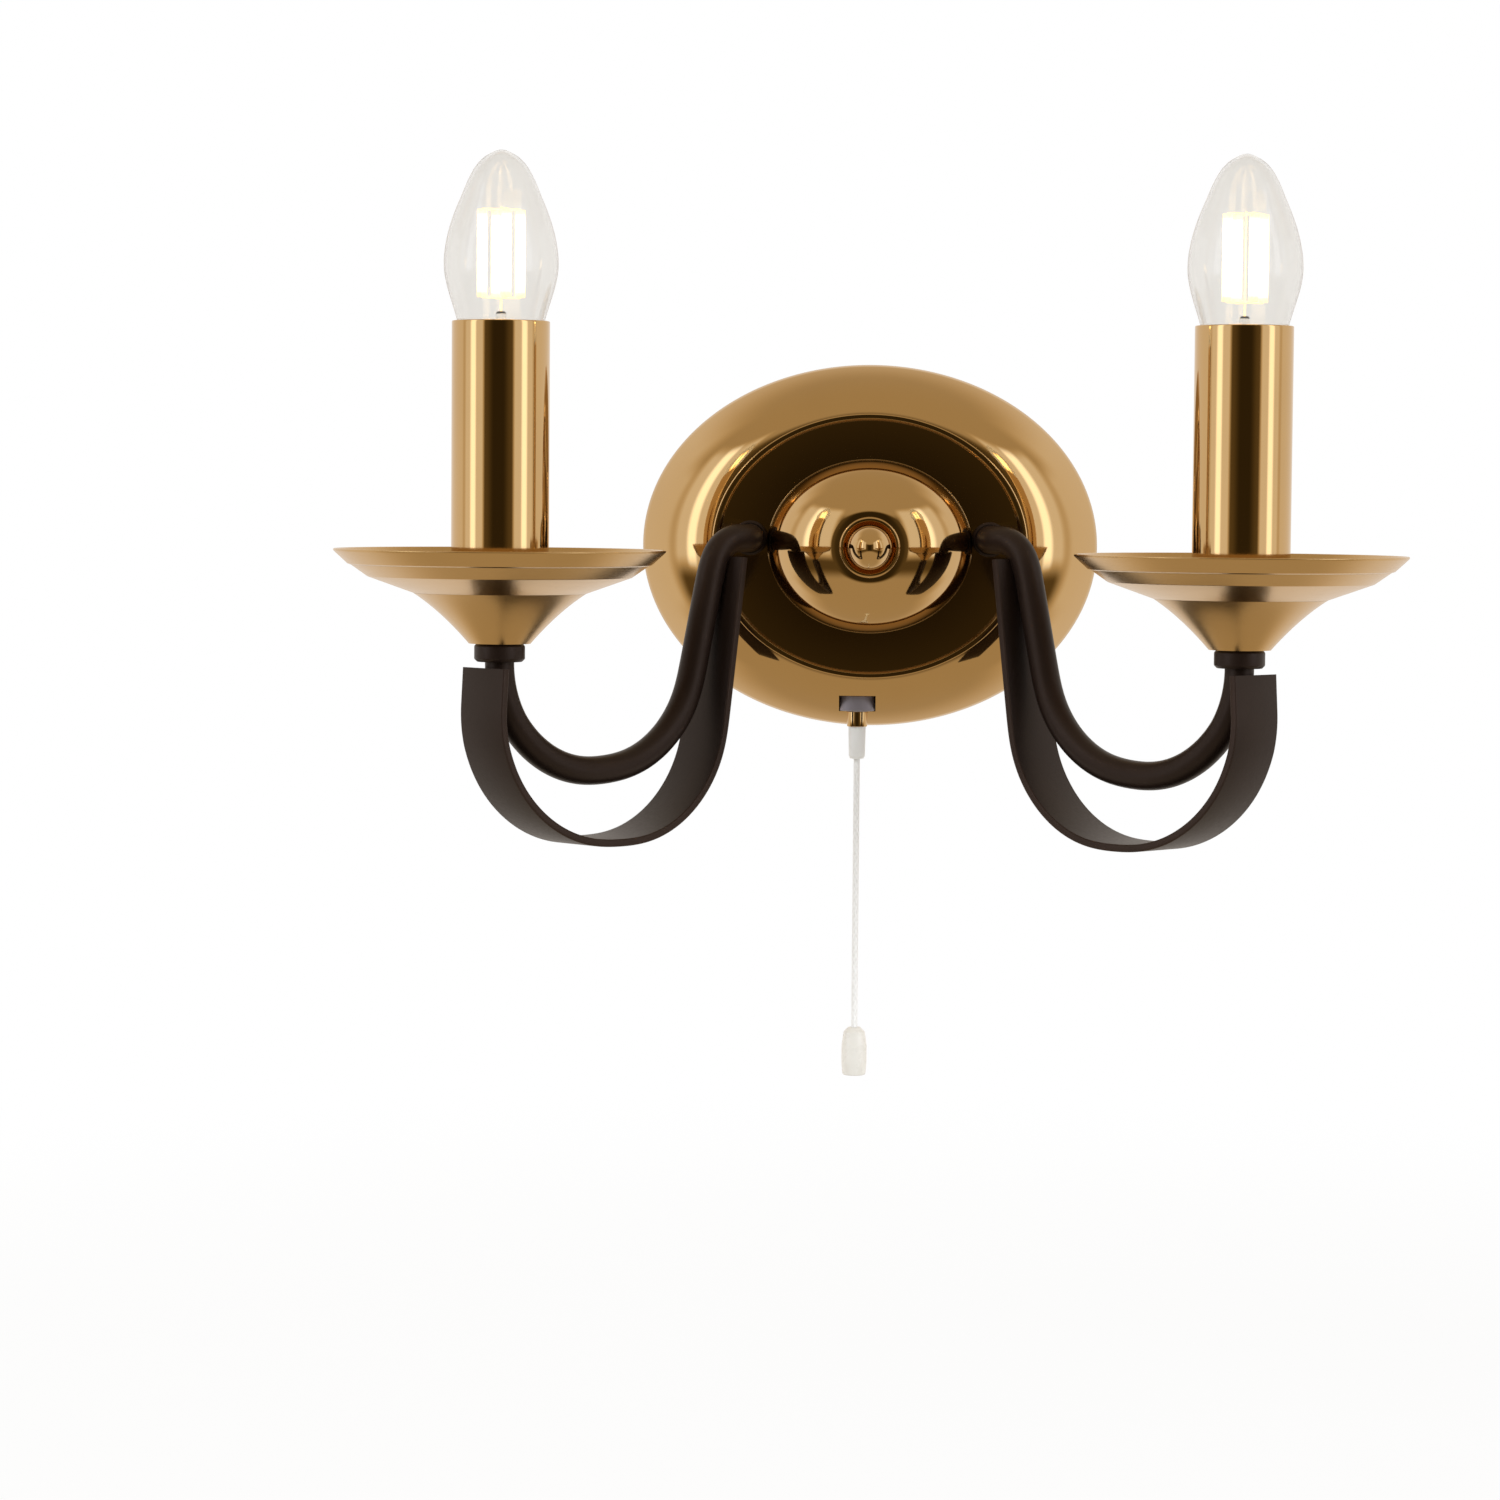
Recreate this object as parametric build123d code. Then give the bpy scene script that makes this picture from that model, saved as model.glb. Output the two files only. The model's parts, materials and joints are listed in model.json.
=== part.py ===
"""Double arm wall sconce: oval plate, two candle arms and a pull cord, in millimetres.

The wall is the plane Y = 0 and the light stands out of it towards -Y.  +X is to the right,
+Z is up.  The origin is the middle of the wall bracket's back face.  A depth is a distance
from the wall, so it stands for Y = -depth.
"""

from build123d import *
import math
import os

# ---------------------------------------------------------------- driving dimensions
# oval backplate
PLATE_WIDTH = 150.0
PLATE_HEIGHT = 119.0
PLATE_SHEET = 1.0
PLATE_SKIRT = 1.5  # depth of the straight rim against the wall
PLATE_DEPTH = 22.0  # depth where the curved flange ends at the bead
FLANGE_LEAN = 0.228  # share of the flange's fall that its slope at the bead would give by itself
BEAD_WIDTH = 103.0
BEAD_HEIGHT = 86.2
BEAD_RISE = 0.8
BEAD_BREADTH = 2.2
FIELD_DROP = 0.7  # the flat field lies this much behind the bead's foot
DOME_WIDTH = 66.0
DOME_HEIGHT = 56.0
DOME_STEP = 1.0  # straight riser at the dome's foot
DOME_RISE = 25.4
DOME_SEAT_D = 22.0  # the dome is cut off here, where it still slopes

# wall bracket and centre stud
BRACKET_LENGTH = 132.0
BRACKET_WIDTH = 18.0
BRACKET_SHEET = 2.0
SLOT_SPACING = 112.0
SLOT_WIDTH = 4.4
SLOT_LENGTH = 10.0
TONGUE_WIDTH = 34.0
TONGUE_TOP = 34.0
STUD_D = 6.0
STUD_NUT_AF = 10.0
STUD_NUT_H = 4.0
EARTH_SCREW_X = 20.0
EARTH_SCREW_D = 4.0

# finial and its seat
SEAT_WASHER_D = 19.6
SEAT_WASHER_H = 2.2
FINIAL_HEAD_D = 14.0
FINIAL_HEIGHT = 15.0

# arms: tube and flat strap lie in an upright plane that turns out of the wall.  An ALONG is
# measured in that plane from the root's axis outwards, a SHORT from the cup's axis inwards
ROOT_X = 39.0
ROOT_Z = 2.5
ROOT_STANDOFF = 13.9  # from the plate's field out to the root bend's corner
CUP_X = 113.2
CUP_DEPTH = 108.0
TUBE_D = 9.0
TUBE_WALL = 1.0
TUBE_INNER_RUN = 4.9  # length of the tube's threaded end behind the field
ROOT_BEND_R = 9.5
SHOULDER_ALONG = 13.9
SHOULDER_BEND_R = 10.0
FALL_ALONG = 26.7
FALL_Z = -50.0
FALL_BEND_R = 32.0
BOWL_NEAR_ALONG = 42.2
BOWL_NEAR_Z = -68.5
BOWL_NEAR_BEND_R = 38.0
BOWL_FAR_SHORT = 23.7
BOWL_FAR_Z = -71.5
BOWL_FAR_BEND_R = 39.0
RISE_Z = -50.0
RISE_BEND_R = 33.0

STRAP_WIDTH = 20.0
STRAP_SHEET = 2.4
STRAP_SEAT = 0.3  # how far the tube beds into the strap where they are brazed
STRAP_TOP_ALONG = 10.7
STRAP_TOP_ROOT = -3.5
STRAP_TOP_CUP = -37.0
STRAP_FALL_ALONG = 19.6
STRAP_FALL_Z = -66.0
STRAP_FALL_BEND_R = 38.0
STRAP_NEAR_ALONG = 35.4
STRAP_LOW = -92.4
STRAP_NEAR_BEND_R = 42.0
STRAP_FAR_SHORT = 18.9
STRAP_FAR_BEND_R = 46.0
STRAP_RISE_BULGE = 1.8
STRAP_RISE_Z = -66.5
STRAP_RISE_BEND_R = 40.0
ROOT_RING_D = 11.4
ROOT_RING_H = 2.5
ROOT_NUT_AF = 14.0
ROOT_NUT_H = 3.0

# cup stack on the end of each arm
COLLAR_D = 15.6
COLLAR_H = 5.6
COLLAR_SOCKET = 2.6
CONE_FOOT_Z = -29.5
CONE_FOOT_D = 19.0
CONE_TOP_D = 53.0
CONE_SHEET = 0.9
PAN_D = 102.0
PAN_RIM_Z = -0.6
PAN_FLOOR_Z = -14.1
PAN_SHEET = 0.9
NIPPLE_D = 10.0
NIPPLE_BORE = 7.0
NIPPLE_TOP_Z = -4.0
LEAD_D = 4.0
LEAD_GAP = 1.5

# candle: lampholder, sleeve and bulb
SLEEVE_D = 30.0
SLEEVE_WALL = 0.8
SLEEVE_TOP_Z = 69.0
STEM_D = 13.0
STEM_FLANGE_H = 1.6
HOLDER_D = 24.8
HOLDER_FOOT_Z = 14.0
HOLDER_TOP_Z = 45.0
HOLDER_FLOOR = 3.0
SHELL_BORE = 14.0
SHELL_WALL = 0.5
CAP_D = 13.4
CAP_FOOT_Z = 25.0
CAP_TOP_Z = 48.0
CAP_FLARE_D = 16.0
CAP_FLARE_H = 1.8
CONTACT_Z = 22.6
BULB_D = 35.0
BULB_TOP_Z = 121.0
BULB_NECK_D = 14.6
GLASS_WALL = 0.7
FILAMENT_D = 1.8
FILAMENT_LOW_Z = 76.0
FILAMENT_HIGH_Z = 103.0
FILAMENT_RING_D = 12.0
FILAMENT_COUNT = 4
FILAMENT_TURN = 20.0

# pull switch
SWITCH_X = -3.6
SWITCH_AXIS_DEPTH = 10.6
SWITCH_SHELF_RISE = 10.5  # from the plate's lowest edge up to the shelf that the switch hangs from
SWITCH_WIDTH = 18.0
SWITCH_BACK = 2.8
SWITCH_FRONT = 16.0
SWITCH_HEIGHT = 18.0
SWITCH_WALL = 1.2
SWITCH_FLOOR = 2.0
SWITCH_CAVITY_R = 4.2
NECK_D = 6.4
NECK_BORE = 4.6
NECK_DROP = 6.2  # the neck ends this much below the shelf
RING_NUT_D = 11.6
RING_NUT_H = 5.2
NUT_CHAMFER = 0.3
NOZZLE_D = 5.9
NOZZLE_BORE = 2.8
NOZZLE_DROP = 21.0  # the nozzle ends this much below the shelf
PULL_TRAVEL = 6.0
PLUNGER_HEAD_D = 6.4
PLUNGER_HEAD_H = 1.8
PLUNGER_BOSS_D = 3.0
PLUNGER_BOSS_H = 1.6
ROTOR_D = 7.2
ROTOR_H = 2.2
ROTOR_PIVOT_D = 2.0
SPRING_WIRE_D = 0.4
SPRING_MEAN_D = 5.4
SPRING_TURNS = 5
SPRING_SHUT_H = 3.0
CORD_D = 2.0
CORD_VISIBLE = 89.0
TOGGLE_D = 8.4
TOGGLE_H = 15.8

# wiring
TERMINAL_WIDTH = 32.0
TERMINAL_HEIGHT = 14.0
TERMINAL_DEPTH = 10.4
TERMINAL_FOOT_Z = 17.0
TERMINAL_POLES = 3
SWITCH_WIRE_D = 1.8
SWITCH_WIRES_ASIDE = 4.6  # the switch's two wires leave its roof this far left of its axis

# clearances
HOLE_CLEARANCE = 0.2  # radial, round anything that passes a drilled hole
SLIDE_CLEARANCE = 0.3  # radial, between pieces that move past each other
CONTACT_GAP = 0.1

# ---------------------------------------------------------------- derived places
FIELD_DEPTH = PLATE_DEPTH - FIELD_DROP
DOME_TOP_DEPTH = FIELD_DEPTH + DOME_STEP + DOME_RISE
ARM_ROOT_DEPTH = FIELD_DEPTH + ROOT_STANDOFF
ARM_REACH = math.hypot(CUP_X - ROOT_X, CUP_DEPTH - ARM_ROOT_DEPTH)  # root axis to cup axis
ARM_COS = (CUP_X - ROOT_X) / ARM_REACH
ARM_SIN = (CUP_DEPTH - ARM_ROOT_DEPTH) / ARM_REACH
TUBE_R = TUBE_D / 2
COLLAR_TOP_Z = CONE_FOOT_Z
COLLAR_FOOT_Z = COLLAR_TOP_Z - COLLAR_H
TUBE_TOP_Z = COLLAR_FOOT_Z + COLLAR_SOCKET
PAN_TOP_Z = PAN_FLOOR_Z + PAN_SHEET
TERMINAL_BACK = BRACKET_SHEET
LEAD_DEPTH = BRACKET_SHEET + LEAD_D / 2 + LEAD_GAP
SWITCH_SHELF_Z = SWITCH_SHELF_RISE - PLATE_HEIGHT / 2
NECK_END_Z = SWITCH_SHELF_Z - NECK_DROP
NOZZLE_END_Z = SWITCH_SHELF_Z - NOZZLE_DROP

NODES = {}


def keep(name, solid):
    """Store one piece under its node name."""
    NODES[name] = solid


def keep_pair(name, solid):
    """Store a piece of the right-hand arm and its mirror image on the left."""
    keep(name + "_right", solid)
    keep(name + "_left", mirror(solid, Plane.YZ))


# ---------------------------------------------------------------- shaping helpers
def turned(*lines):
    """Solid of revolution about Z from lines drawn as (radius, height)."""
    outline = lines[0]
    for line in lines[1:]:
        outline += line
    return revolve(Plane.XZ * make_face(outline), Axis.Z)


def turned_points(points):
    """Solid of revolution about Z from straight lines through (radius, height) points."""
    return turned(Polyline(*points, close=True))


def ring(outer_d, inner_d, low, high):
    """Upright tube between two heights."""
    return turned_points([(inner_d / 2, low), (outer_d / 2, low), (outer_d / 2, high), (inner_d / 2, high)])


def rod(diameter, low, high):
    """Upright round bar between two heights."""
    return ring(diameter, 0, low, high)


def facing_out(shape, x=0.0, z=0.0):
    """Lay a shape made along +Z so that its height becomes depth from the wall."""
    return Plane(origin=(x, 0, z), x_dir=(1, 0, 0), z_dir=(0, -1, 0)) * shape


def block(x0, x1, depth0, depth1, z0, z1):
    """Box from its corners, with depths measured out from the wall."""
    size = (x1 - x0, depth1 - depth0, z1 - z0)
    centre = ((x0 + x1) / 2, -(depth0 + depth1) / 2, (z0 + z1) / 2)
    return Pos(*centre) * Box(*size)


def at_cup(shape):
    """Move a shape made on the Z axis to the right-hand cup axis."""
    return Pos(CUP_X, -CUP_DEPTH, 0) * shape


def hex_bar(across_flats, height):
    """Hexagonal bar along +Z from the origin."""
    return extrude(RegularPolygon(across_flats / math.sqrt(3), 6), height)


def round_sweep(path, diameter):
    """Round bar of constant diameter along a path."""
    return sweep(Plane(origin=path @ 0, z_dir=path % 0) * Circle(diameter / 2), path=path)


# ---------------------------------------------------------------- oval backplate
def oval(width, height, depth):
    """Elliptical face parallel to the wall."""
    face = Plane(origin=(0, -depth, 0), x_dir=(1, 0, 0), z_dir=(0, -1, 0))
    return face * Ellipse(width / 2, height / 2)


def swelling(foot, crown, rise, foot_depth, steps=7):
    """Convex oval body: part of a half ellipsoid on the foot oval, cut off at the crown oval."""
    cut = crown[0] / foot[0]
    end = math.acos(cut)
    sections = []
    for step in range(steps + 1):
        angle = end * step / steps
        share = (math.cos(angle) - cut) / (1 - cut)
        width = crown[0] + (foot[0] - crown[0]) * share
        height = crown[1] + (foot[1] - crown[1]) * share
        sections.append(oval(width, height, foot_depth + rise * math.sin(angle) / math.sin(end)))
    return loft(sections)


def curved_flange(edge, crown, edge_depth, crown_depth, steps=6):
    """Curved rim from the edge oval in to the crown oval, where it still leans outwards."""
    sections = []
    for step in range(steps + 1):
        out = 1 - step / steps
        fall = FLANGE_LEAN * out + (1 - FLANGE_LEAN) * out ** 2
        width = crown[0] + (edge[0] - crown[0]) * out
        height = crown[1] + (edge[1] - crown[1]) * out
        sections.append(oval(width, height, crown_depth - (crown_depth - edge_depth) * fall))
    return loft(sections)


def prism(first, second):
    """Straight-sided oval body between two (width, height, depth) ovals."""
    return loft([oval(*first), oval(*second)], ruled=True)


def plate_envelope(inset, start_depth):
    """Filled form of the plate, drawn in by inset on every side."""
    w, h = PLATE_WIDTH - 2 * inset, PLATE_HEIGHT - 2 * inset
    bw, bh = BEAD_WIDTH - 2 * inset, BEAD_HEIGHT - 2 * inset
    dw, dh = DOME_WIDTH - 2 * inset, DOME_HEIGHT - 2 * inset
    field, step = FIELD_DEPTH - inset, FIELD_DEPTH + DOME_STEP - inset
    body = prism((w, h, start_depth), (w, h, PLATE_SKIRT - inset))
    body += curved_flange((w, h), (bw, bh), PLATE_SKIRT - inset, PLATE_DEPTH - inset)
    sink_w, sink_h = bw - 2 * BEAD_BREADTH, bh - 2 * BEAD_BREADTH
    body -= prism((sink_w, sink_h, field), (sink_w, sink_h, PLATE_DEPTH + 1))
    body += prism((dw, dh, field), (dw, dh, step))
    seat = DOME_SEAT_D
    body += swelling((dw, dh), (seat, seat), DOME_RISE, step)
    return body


def make_bead():
    """Raised ring along the inner edge of the flange."""
    w, h = BEAD_WIDTH - BEAD_BREADTH, BEAD_HEIGHT - BEAD_BREADTH
    rounding = BEAD_BREADTH / 4
    low, high = PLATE_DEPTH - BEAD_RISE, PLATE_DEPTH + BEAD_RISE
    outside = prism((w + BEAD_BREADTH - 0.4, h + BEAD_BREADTH - 0.4, low), (w + rounding, h + rounding, high))
    inside = prism((w - BEAD_BREADTH, h - BEAD_BREADTH, low), (w - rounding * 2, h - rounding * 2, high))
    return outside - inside


def on_switch(shape):
    """Move a shape made on the Z axis to the pull switch's axis."""
    return Pos(SWITCH_X, -SWITCH_AXIS_DEPTH, 0) * shape


def nut_window(radius, low_z, top_z):
    """Recess in the flange round the switch's ring nut, open to the front."""
    recess = on_switch(rod(2 * radius, low_z, top_z))
    return recess + block(SWITCH_X - radius, SWITCH_X + radius, SWITCH_AXIS_DEPTH, PLATE_DEPTH + 2, low_z, top_z)


def make_backplate():
    outer = plate_envelope(0, 0)
    inner = plate_envelope(PLATE_SHEET, -1)
    window_r, window_low = RING_NUT_D / 2 + HOLE_CLEARANCE, SWITCH_SHELF_Z - RING_NUT_H - HOLE_CLEARANCE
    inner -= nut_window(window_r + PLATE_SHEET, window_low - PLATE_SHEET, SWITCH_SHELF_Z + PLATE_SHEET)
    plate = outer + make_bead() - inner - nut_window(window_r, window_low, SWITCH_SHELF_Z)
    plate -= facing_out(rod(STUD_D + 2 * HOLE_CLEARANCE, 0, DOME_TOP_DEPTH + 1))
    arm_hole = rod(TUBE_D + 2 * HOLE_CLEARANCE, 0, PLATE_DEPTH + 2)
    for x in (-ROOT_X, ROOT_X):
        plate -= facing_out(arm_hole, x, ROOT_Z)
    neck_d = NECK_D + 2 * HOLE_CLEARANCE
    plate -= on_switch(rod(neck_d, SWITCH_SHELF_Z - 1, SWITCH_SHELF_Z + 2))
    plate -= on_switch(rod(neck_d, -PLATE_HEIGHT / 2 - 1, window_low + 1))
    keep("backplate", plate)


# ---------------------------------------------------------------- wall fixing
def make_wall_fixing():
    bar = RectangleRounded(BRACKET_LENGTH, BRACKET_WIDTH, BRACKET_WIDTH / 3)
    tongue_h = TONGUE_TOP - BRACKET_WIDTH / 4
    bar += Pos(0, TONGUE_TOP - tongue_h / 2) * RectangleRounded(TONGUE_WIDTH, tongue_h, 3)
    for x in (-SLOT_SPACING / 2, SLOT_SPACING / 2):
        bar -= Pos(x, 0) * SlotOverall(SLOT_LENGTH, SLOT_WIDTH)
    bar -= Circle(STUD_D / 2)
    bar -= Pos(EARTH_SCREW_X, 0) * Circle(EARTH_SCREW_D / 2)
    keep("wall_bracket", facing_out(extrude(bar, BRACKET_SHEET)))

    stud_top = DOME_TOP_DEPTH + SEAT_WASHER_H + FINIAL_HEIGHT * 0.6
    keep("centre_stud", facing_out(rod(STUD_D, 0, stud_top)))
    nut = Pos(0, 0, BRACKET_SHEET) * hex_bar(STUD_NUT_AF, STUD_NUT_H) - rod(STUD_D, 0, 2 * stud_top)
    keep("stud_lock_nut", facing_out(nut))

    head_r, head_h = EARTH_SCREW_D * 0.9, EARTH_SCREW_D * 0.6
    screw = rod(EARTH_SCREW_D, 0, BRACKET_SHEET) + rod(2 * head_r, BRACKET_SHEET, BRACKET_SHEET + head_h)
    screw -= Pos(0, 0, BRACKET_SHEET + head_h) * Box(2 * head_r + 1, 0.9, 1.6)
    keep("earth_screw", facing_out(screw, EARTH_SCREW_X, 0))


def make_finial():
    seat, top = DOME_TOP_DEPTH, DOME_TOP_DEPTH + SEAT_WASHER_H
    outer, inner = SEAT_WASHER_D / 2, STUD_D / 2
    neck = FINIAL_HEAD_D / 2 - 2.2
    washer = turned_points(
        [(inner, seat), (outer - 0.6, seat), (outer, seat + 0.6), (outer - 0.3, top),
         (outer - 1.4, top), (neck + 1.2, seat + 1.0), (neck, seat + 1.2), (inner, seat + 1.2)]
    )
    keep("finial_washer", facing_out(washer))

    base, peak = seat + 1.2, seat + 1.2 + FINIAL_HEIGHT
    head = FINIAL_HEAD_D / 2
    hole_r, hole_end = STUD_D / 2, seat + SEAT_WASHER_H + FINIAL_HEIGHT * 0.6
    shoulder = (head - 0.6, base + 4.4)
    crown = ThreePointArc((0, peak), (head * 0.86, base + 10.2), shoulder)
    side = Polyline(shoulder, (neck - 0.6, base + 2.2), (neck, base), (hole_r, base),
                    (hole_r, hole_end), (0, hole_end), (0, peak))
    keep("finial", facing_out(turned(crown, side)))


# ---------------------------------------------------------------- arms
def on_arm(along, up):
    """Point of the right-hand arm plane, from its distance along the arm and its height."""
    return (ROOT_X + along * ARM_COS, -(ARM_ROOT_DEPTH + along * ARM_SIN), up)


def tube_route():
    """Corner points and bend radii of the arm tube, from its end inside the plate to the cup."""
    corners = [
        ((0, ROOT_Z), ROOT_BEND_R),
        ((SHOULDER_ALONG, ROOT_Z), SHOULDER_BEND_R),
        ((FALL_ALONG, FALL_Z), FALL_BEND_R),
        ((BOWL_NEAR_ALONG, BOWL_NEAR_Z), BOWL_NEAR_BEND_R),
        ((ARM_REACH - BOWL_FAR_SHORT, BOWL_FAR_Z), BOWL_FAR_BEND_R),
        ((ARM_REACH, RISE_Z), RISE_BEND_R),
    ]
    points = [on_arm(*place) for place, _ in corners]
    return points, [radius for _, radius in corners]


def strap_route():
    """Middle line of the strap, from the root end down and up to the cup end."""
    hug = TUBE_R + STRAP_SHEET / 2 - STRAP_SEAT
    points = [
        (STRAP_TOP_ALONG, STRAP_TOP_ROOT),
        (STRAP_FALL_ALONG, STRAP_FALL_Z),
        (STRAP_NEAR_ALONG, STRAP_LOW),
        (ARM_REACH - STRAP_FAR_SHORT, STRAP_LOW),
        (ARM_REACH + hug + STRAP_RISE_BULGE, STRAP_RISE_Z),
        (ARM_REACH + hug, STRAP_TOP_CUP),
    ]
    bends = [STRAP_FALL_BEND_R, STRAP_NEAR_BEND_R, STRAP_FAR_BEND_R, STRAP_RISE_BEND_R]
    return FilletPolyline(*[on_arm(*place) for place in points], radius=bends)


def make_arms():
    points, radii = tube_route()
    inner_end = (ROOT_X, -(FIELD_DEPTH - TUBE_INNER_RUN), ROOT_Z)
    cup_end = on_arm(ARM_REACH, TUBE_TOP_Z)
    route = FilletPolyline(inner_end, *points, cup_end, radius=radii)
    outside = round_sweep(route, TUBE_D)
    tube = outside - round_sweep(route, TUBE_D - 2 * TUBE_WALL)
    keep_pair("arm_tube", tube)

    middle = strap_route()
    across_arm = (ARM_SIN, ARM_COS, 0)
    end = Plane(origin=middle @ 0, x_dir=across_arm, z_dir=middle % 0)
    strap = sweep(end * Rectangle(STRAP_WIDTH, STRAP_SHEET), path=middle)
    keep_pair("arm_strap", strap - outside)

    ring_low, ring_high = FIELD_DEPTH, FIELD_DEPTH + ROOT_RING_H
    chamfer_size = ROOT_RING_H / 3
    root_ring = turned_points(
        [(TUBE_R, ring_low), (ROOT_RING_D / 2, ring_low), (ROOT_RING_D / 2, ring_high - chamfer_size),
         (ROOT_RING_D / 2 - chamfer_size, ring_high), (TUBE_R, ring_high)]
    )
    keep_pair("arm_root_ring", facing_out(root_ring, ROOT_X, ROOT_Z))
    nut_high = FIELD_DEPTH - PLATE_SHEET
    nut = Pos(0, 0, nut_high - ROOT_NUT_H) * hex_bar(ROOT_NUT_AF, ROOT_NUT_H) - rod(TUBE_D, 0, nut_high + 1)
    keep_pair("arm_lock_nut", facing_out(nut, ROOT_X, ROOT_Z))

    lead_x = TERMINAL_WIDTH / 2 - LEAD_D / 2 - 0.8
    bend = LEAD_D
    lead = FilletPolyline(
        (lead_x, -LEAD_DEPTH, TERMINAL_FOOT_Z),
        (lead_x, -LEAD_DEPTH, ROOT_Z + 4),
        (ROOT_X, -LEAD_DEPTH, ROOT_Z),
        *points,
        on_arm(ARM_REACH, HOLDER_FOOT_Z),
        radius=[bend, bend, *radii],
    )
    keep_pair("arm_lead", round_sweep(lead, LEAD_D))


# ---------------------------------------------------------------- cups and drip pans
def make_cups():
    collar_r, chamfer_size = COLLAR_D / 2, 0.7
    collar = turned_points(
        [(TUBE_R, COLLAR_FOOT_Z), (collar_r - chamfer_size, COLLAR_FOOT_Z),
         (collar_r, COLLAR_FOOT_Z + chamfer_size), (collar_r, COLLAR_TOP_Z - chamfer_size),
         (collar_r - chamfer_size, COLLAR_TOP_Z), (NIPPLE_D / 2, COLLAR_TOP_Z),
         (NIPPLE_D / 2, TUBE_TOP_Z), (TUBE_R, TUBE_TOP_Z)]
    )
    keep_pair("cup_collar", at_cup(collar))
    keep_pair("cup_nipple", at_cup(ring(NIPPLE_D, NIPPLE_BORE, TUBE_TOP_Z, NIPPLE_TOP_Z)))

    top, foot = PAN_FLOOR_Z, CONE_FOOT_Z
    top_r, foot_r = CONE_TOP_D / 2, CONE_FOOT_D / 2
    middle = (foot_r + (top_r - foot_r) * 0.4, foot + (top - foot) * 0.47)
    wall, floor = CONE_SHEET, CONE_SHEET * 1.4
    outer = turned(
        Polyline((foot_r, foot), (0, foot), (0, top), (top_r, top)),
        ThreePointArc((top_r, top), middle, (foot_r, foot)),
    )
    inner = turned(
        Polyline((foot_r - wall, foot + floor), (0, foot + floor), (0, top), (top_r - 2 * wall, top)),
        ThreePointArc((top_r - 2 * wall, top), (middle[0] - wall, middle[1] + wall / 2),
                      (foot_r - wall, foot + floor)),
    )
    keep_pair("cone_cup", at_cup(outer - inner - rod(NIPPLE_D, foot - 1, top)))

    rim, t = PAN_D / 2, PAN_SHEET
    under = [(rim, PAN_RIM_Z - 0.7), (rim - 4.4, PAN_RIM_Z - 4.6), (rim - 5.2, PAN_RIM_Z - 4.9),
             (rim - 10.5, PAN_RIM_Z - 8.5), (top_r, PAN_FLOOR_Z), (NIPPLE_D / 2, PAN_FLOOR_Z)]
    over = [(NIPPLE_D / 2, PAN_TOP_Z), (top_r, PAN_TOP_Z), (rim - 10.8, PAN_RIM_Z - 8.5 + t),
            (rim - 5.6, PAN_RIM_Z - 4.9 + t), (rim - 4.8, PAN_RIM_Z - 4.6 + t), (rim - 0.9, PAN_RIM_Z),
            (rim, PAN_RIM_Z)]
    keep_pair("drip_pan", at_cup(turned_points(under + over)))


# ---------------------------------------------------------------- candles
def make_candles():
    sleeve_bore = SLEEVE_D - 2 * SLEEVE_WALL
    keep_pair("candle_sleeve", at_cup(ring(SLEEVE_D, sleeve_bore, PAN_TOP_Z, SLEEVE_TOP_Z)))

    flange = ring(sleeve_bore - 0.4, NIPPLE_D, PAN_TOP_Z, PAN_TOP_Z + STEM_FLANGE_H)
    stem = flange + ring(STEM_D, NIPPLE_D, PAN_TOP_Z, HOLDER_FOOT_Z)
    keep_pair("holder_stem", at_cup(stem))

    shell_d = SHELL_BORE + 2 * SHELL_WALL
    floor_z = HOLDER_FOOT_Z + HOLDER_FLOOR
    body = ring(HOLDER_D, shell_d, floor_z, HOLDER_TOP_Z) + rod(HOLDER_D, HOLDER_FOOT_Z, floor_z)
    keep_pair("holder_body", at_cup(body))
    keep_pair("holder_shell", at_cup(ring(shell_d, SHELL_BORE, floor_z + 4, HOLDER_TOP_Z)))
    contact_top = CONTACT_Z - CONTACT_GAP
    contact = rod(5.0, floor_z, contact_top - 1.2) + rod(3.2, contact_top - 1.2, contact_top)
    keep_pair("holder_contact", at_cup(contact))


def glass_form(inset):
    """Filled candle-flame form of the bulb, drawn in by inset."""
    neck, widest = BULB_NECK_D / 2 - inset, BULB_D / 2 - inset
    foot, tip = CAP_TOP_Z, BULB_TOP_Z - inset
    shoulder = foot + (BULB_TOP_Z - CAP_TOP_Z) * 0.52
    flank = Spline(
        (neck, foot),
        (widest * 0.77, foot + (shoulder - foot) * 0.56),
        (widest, shoulder),
        (widest * 0.74, shoulder + (tip - shoulder) * 0.55),
        (widest * 0.22, tip - 1.4),
        (0, tip),
        tangents=[(0, 1), (-1, 0)],
    )
    return turned(flank, Polyline((0, tip), (0, foot), (neck, foot)))


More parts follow.
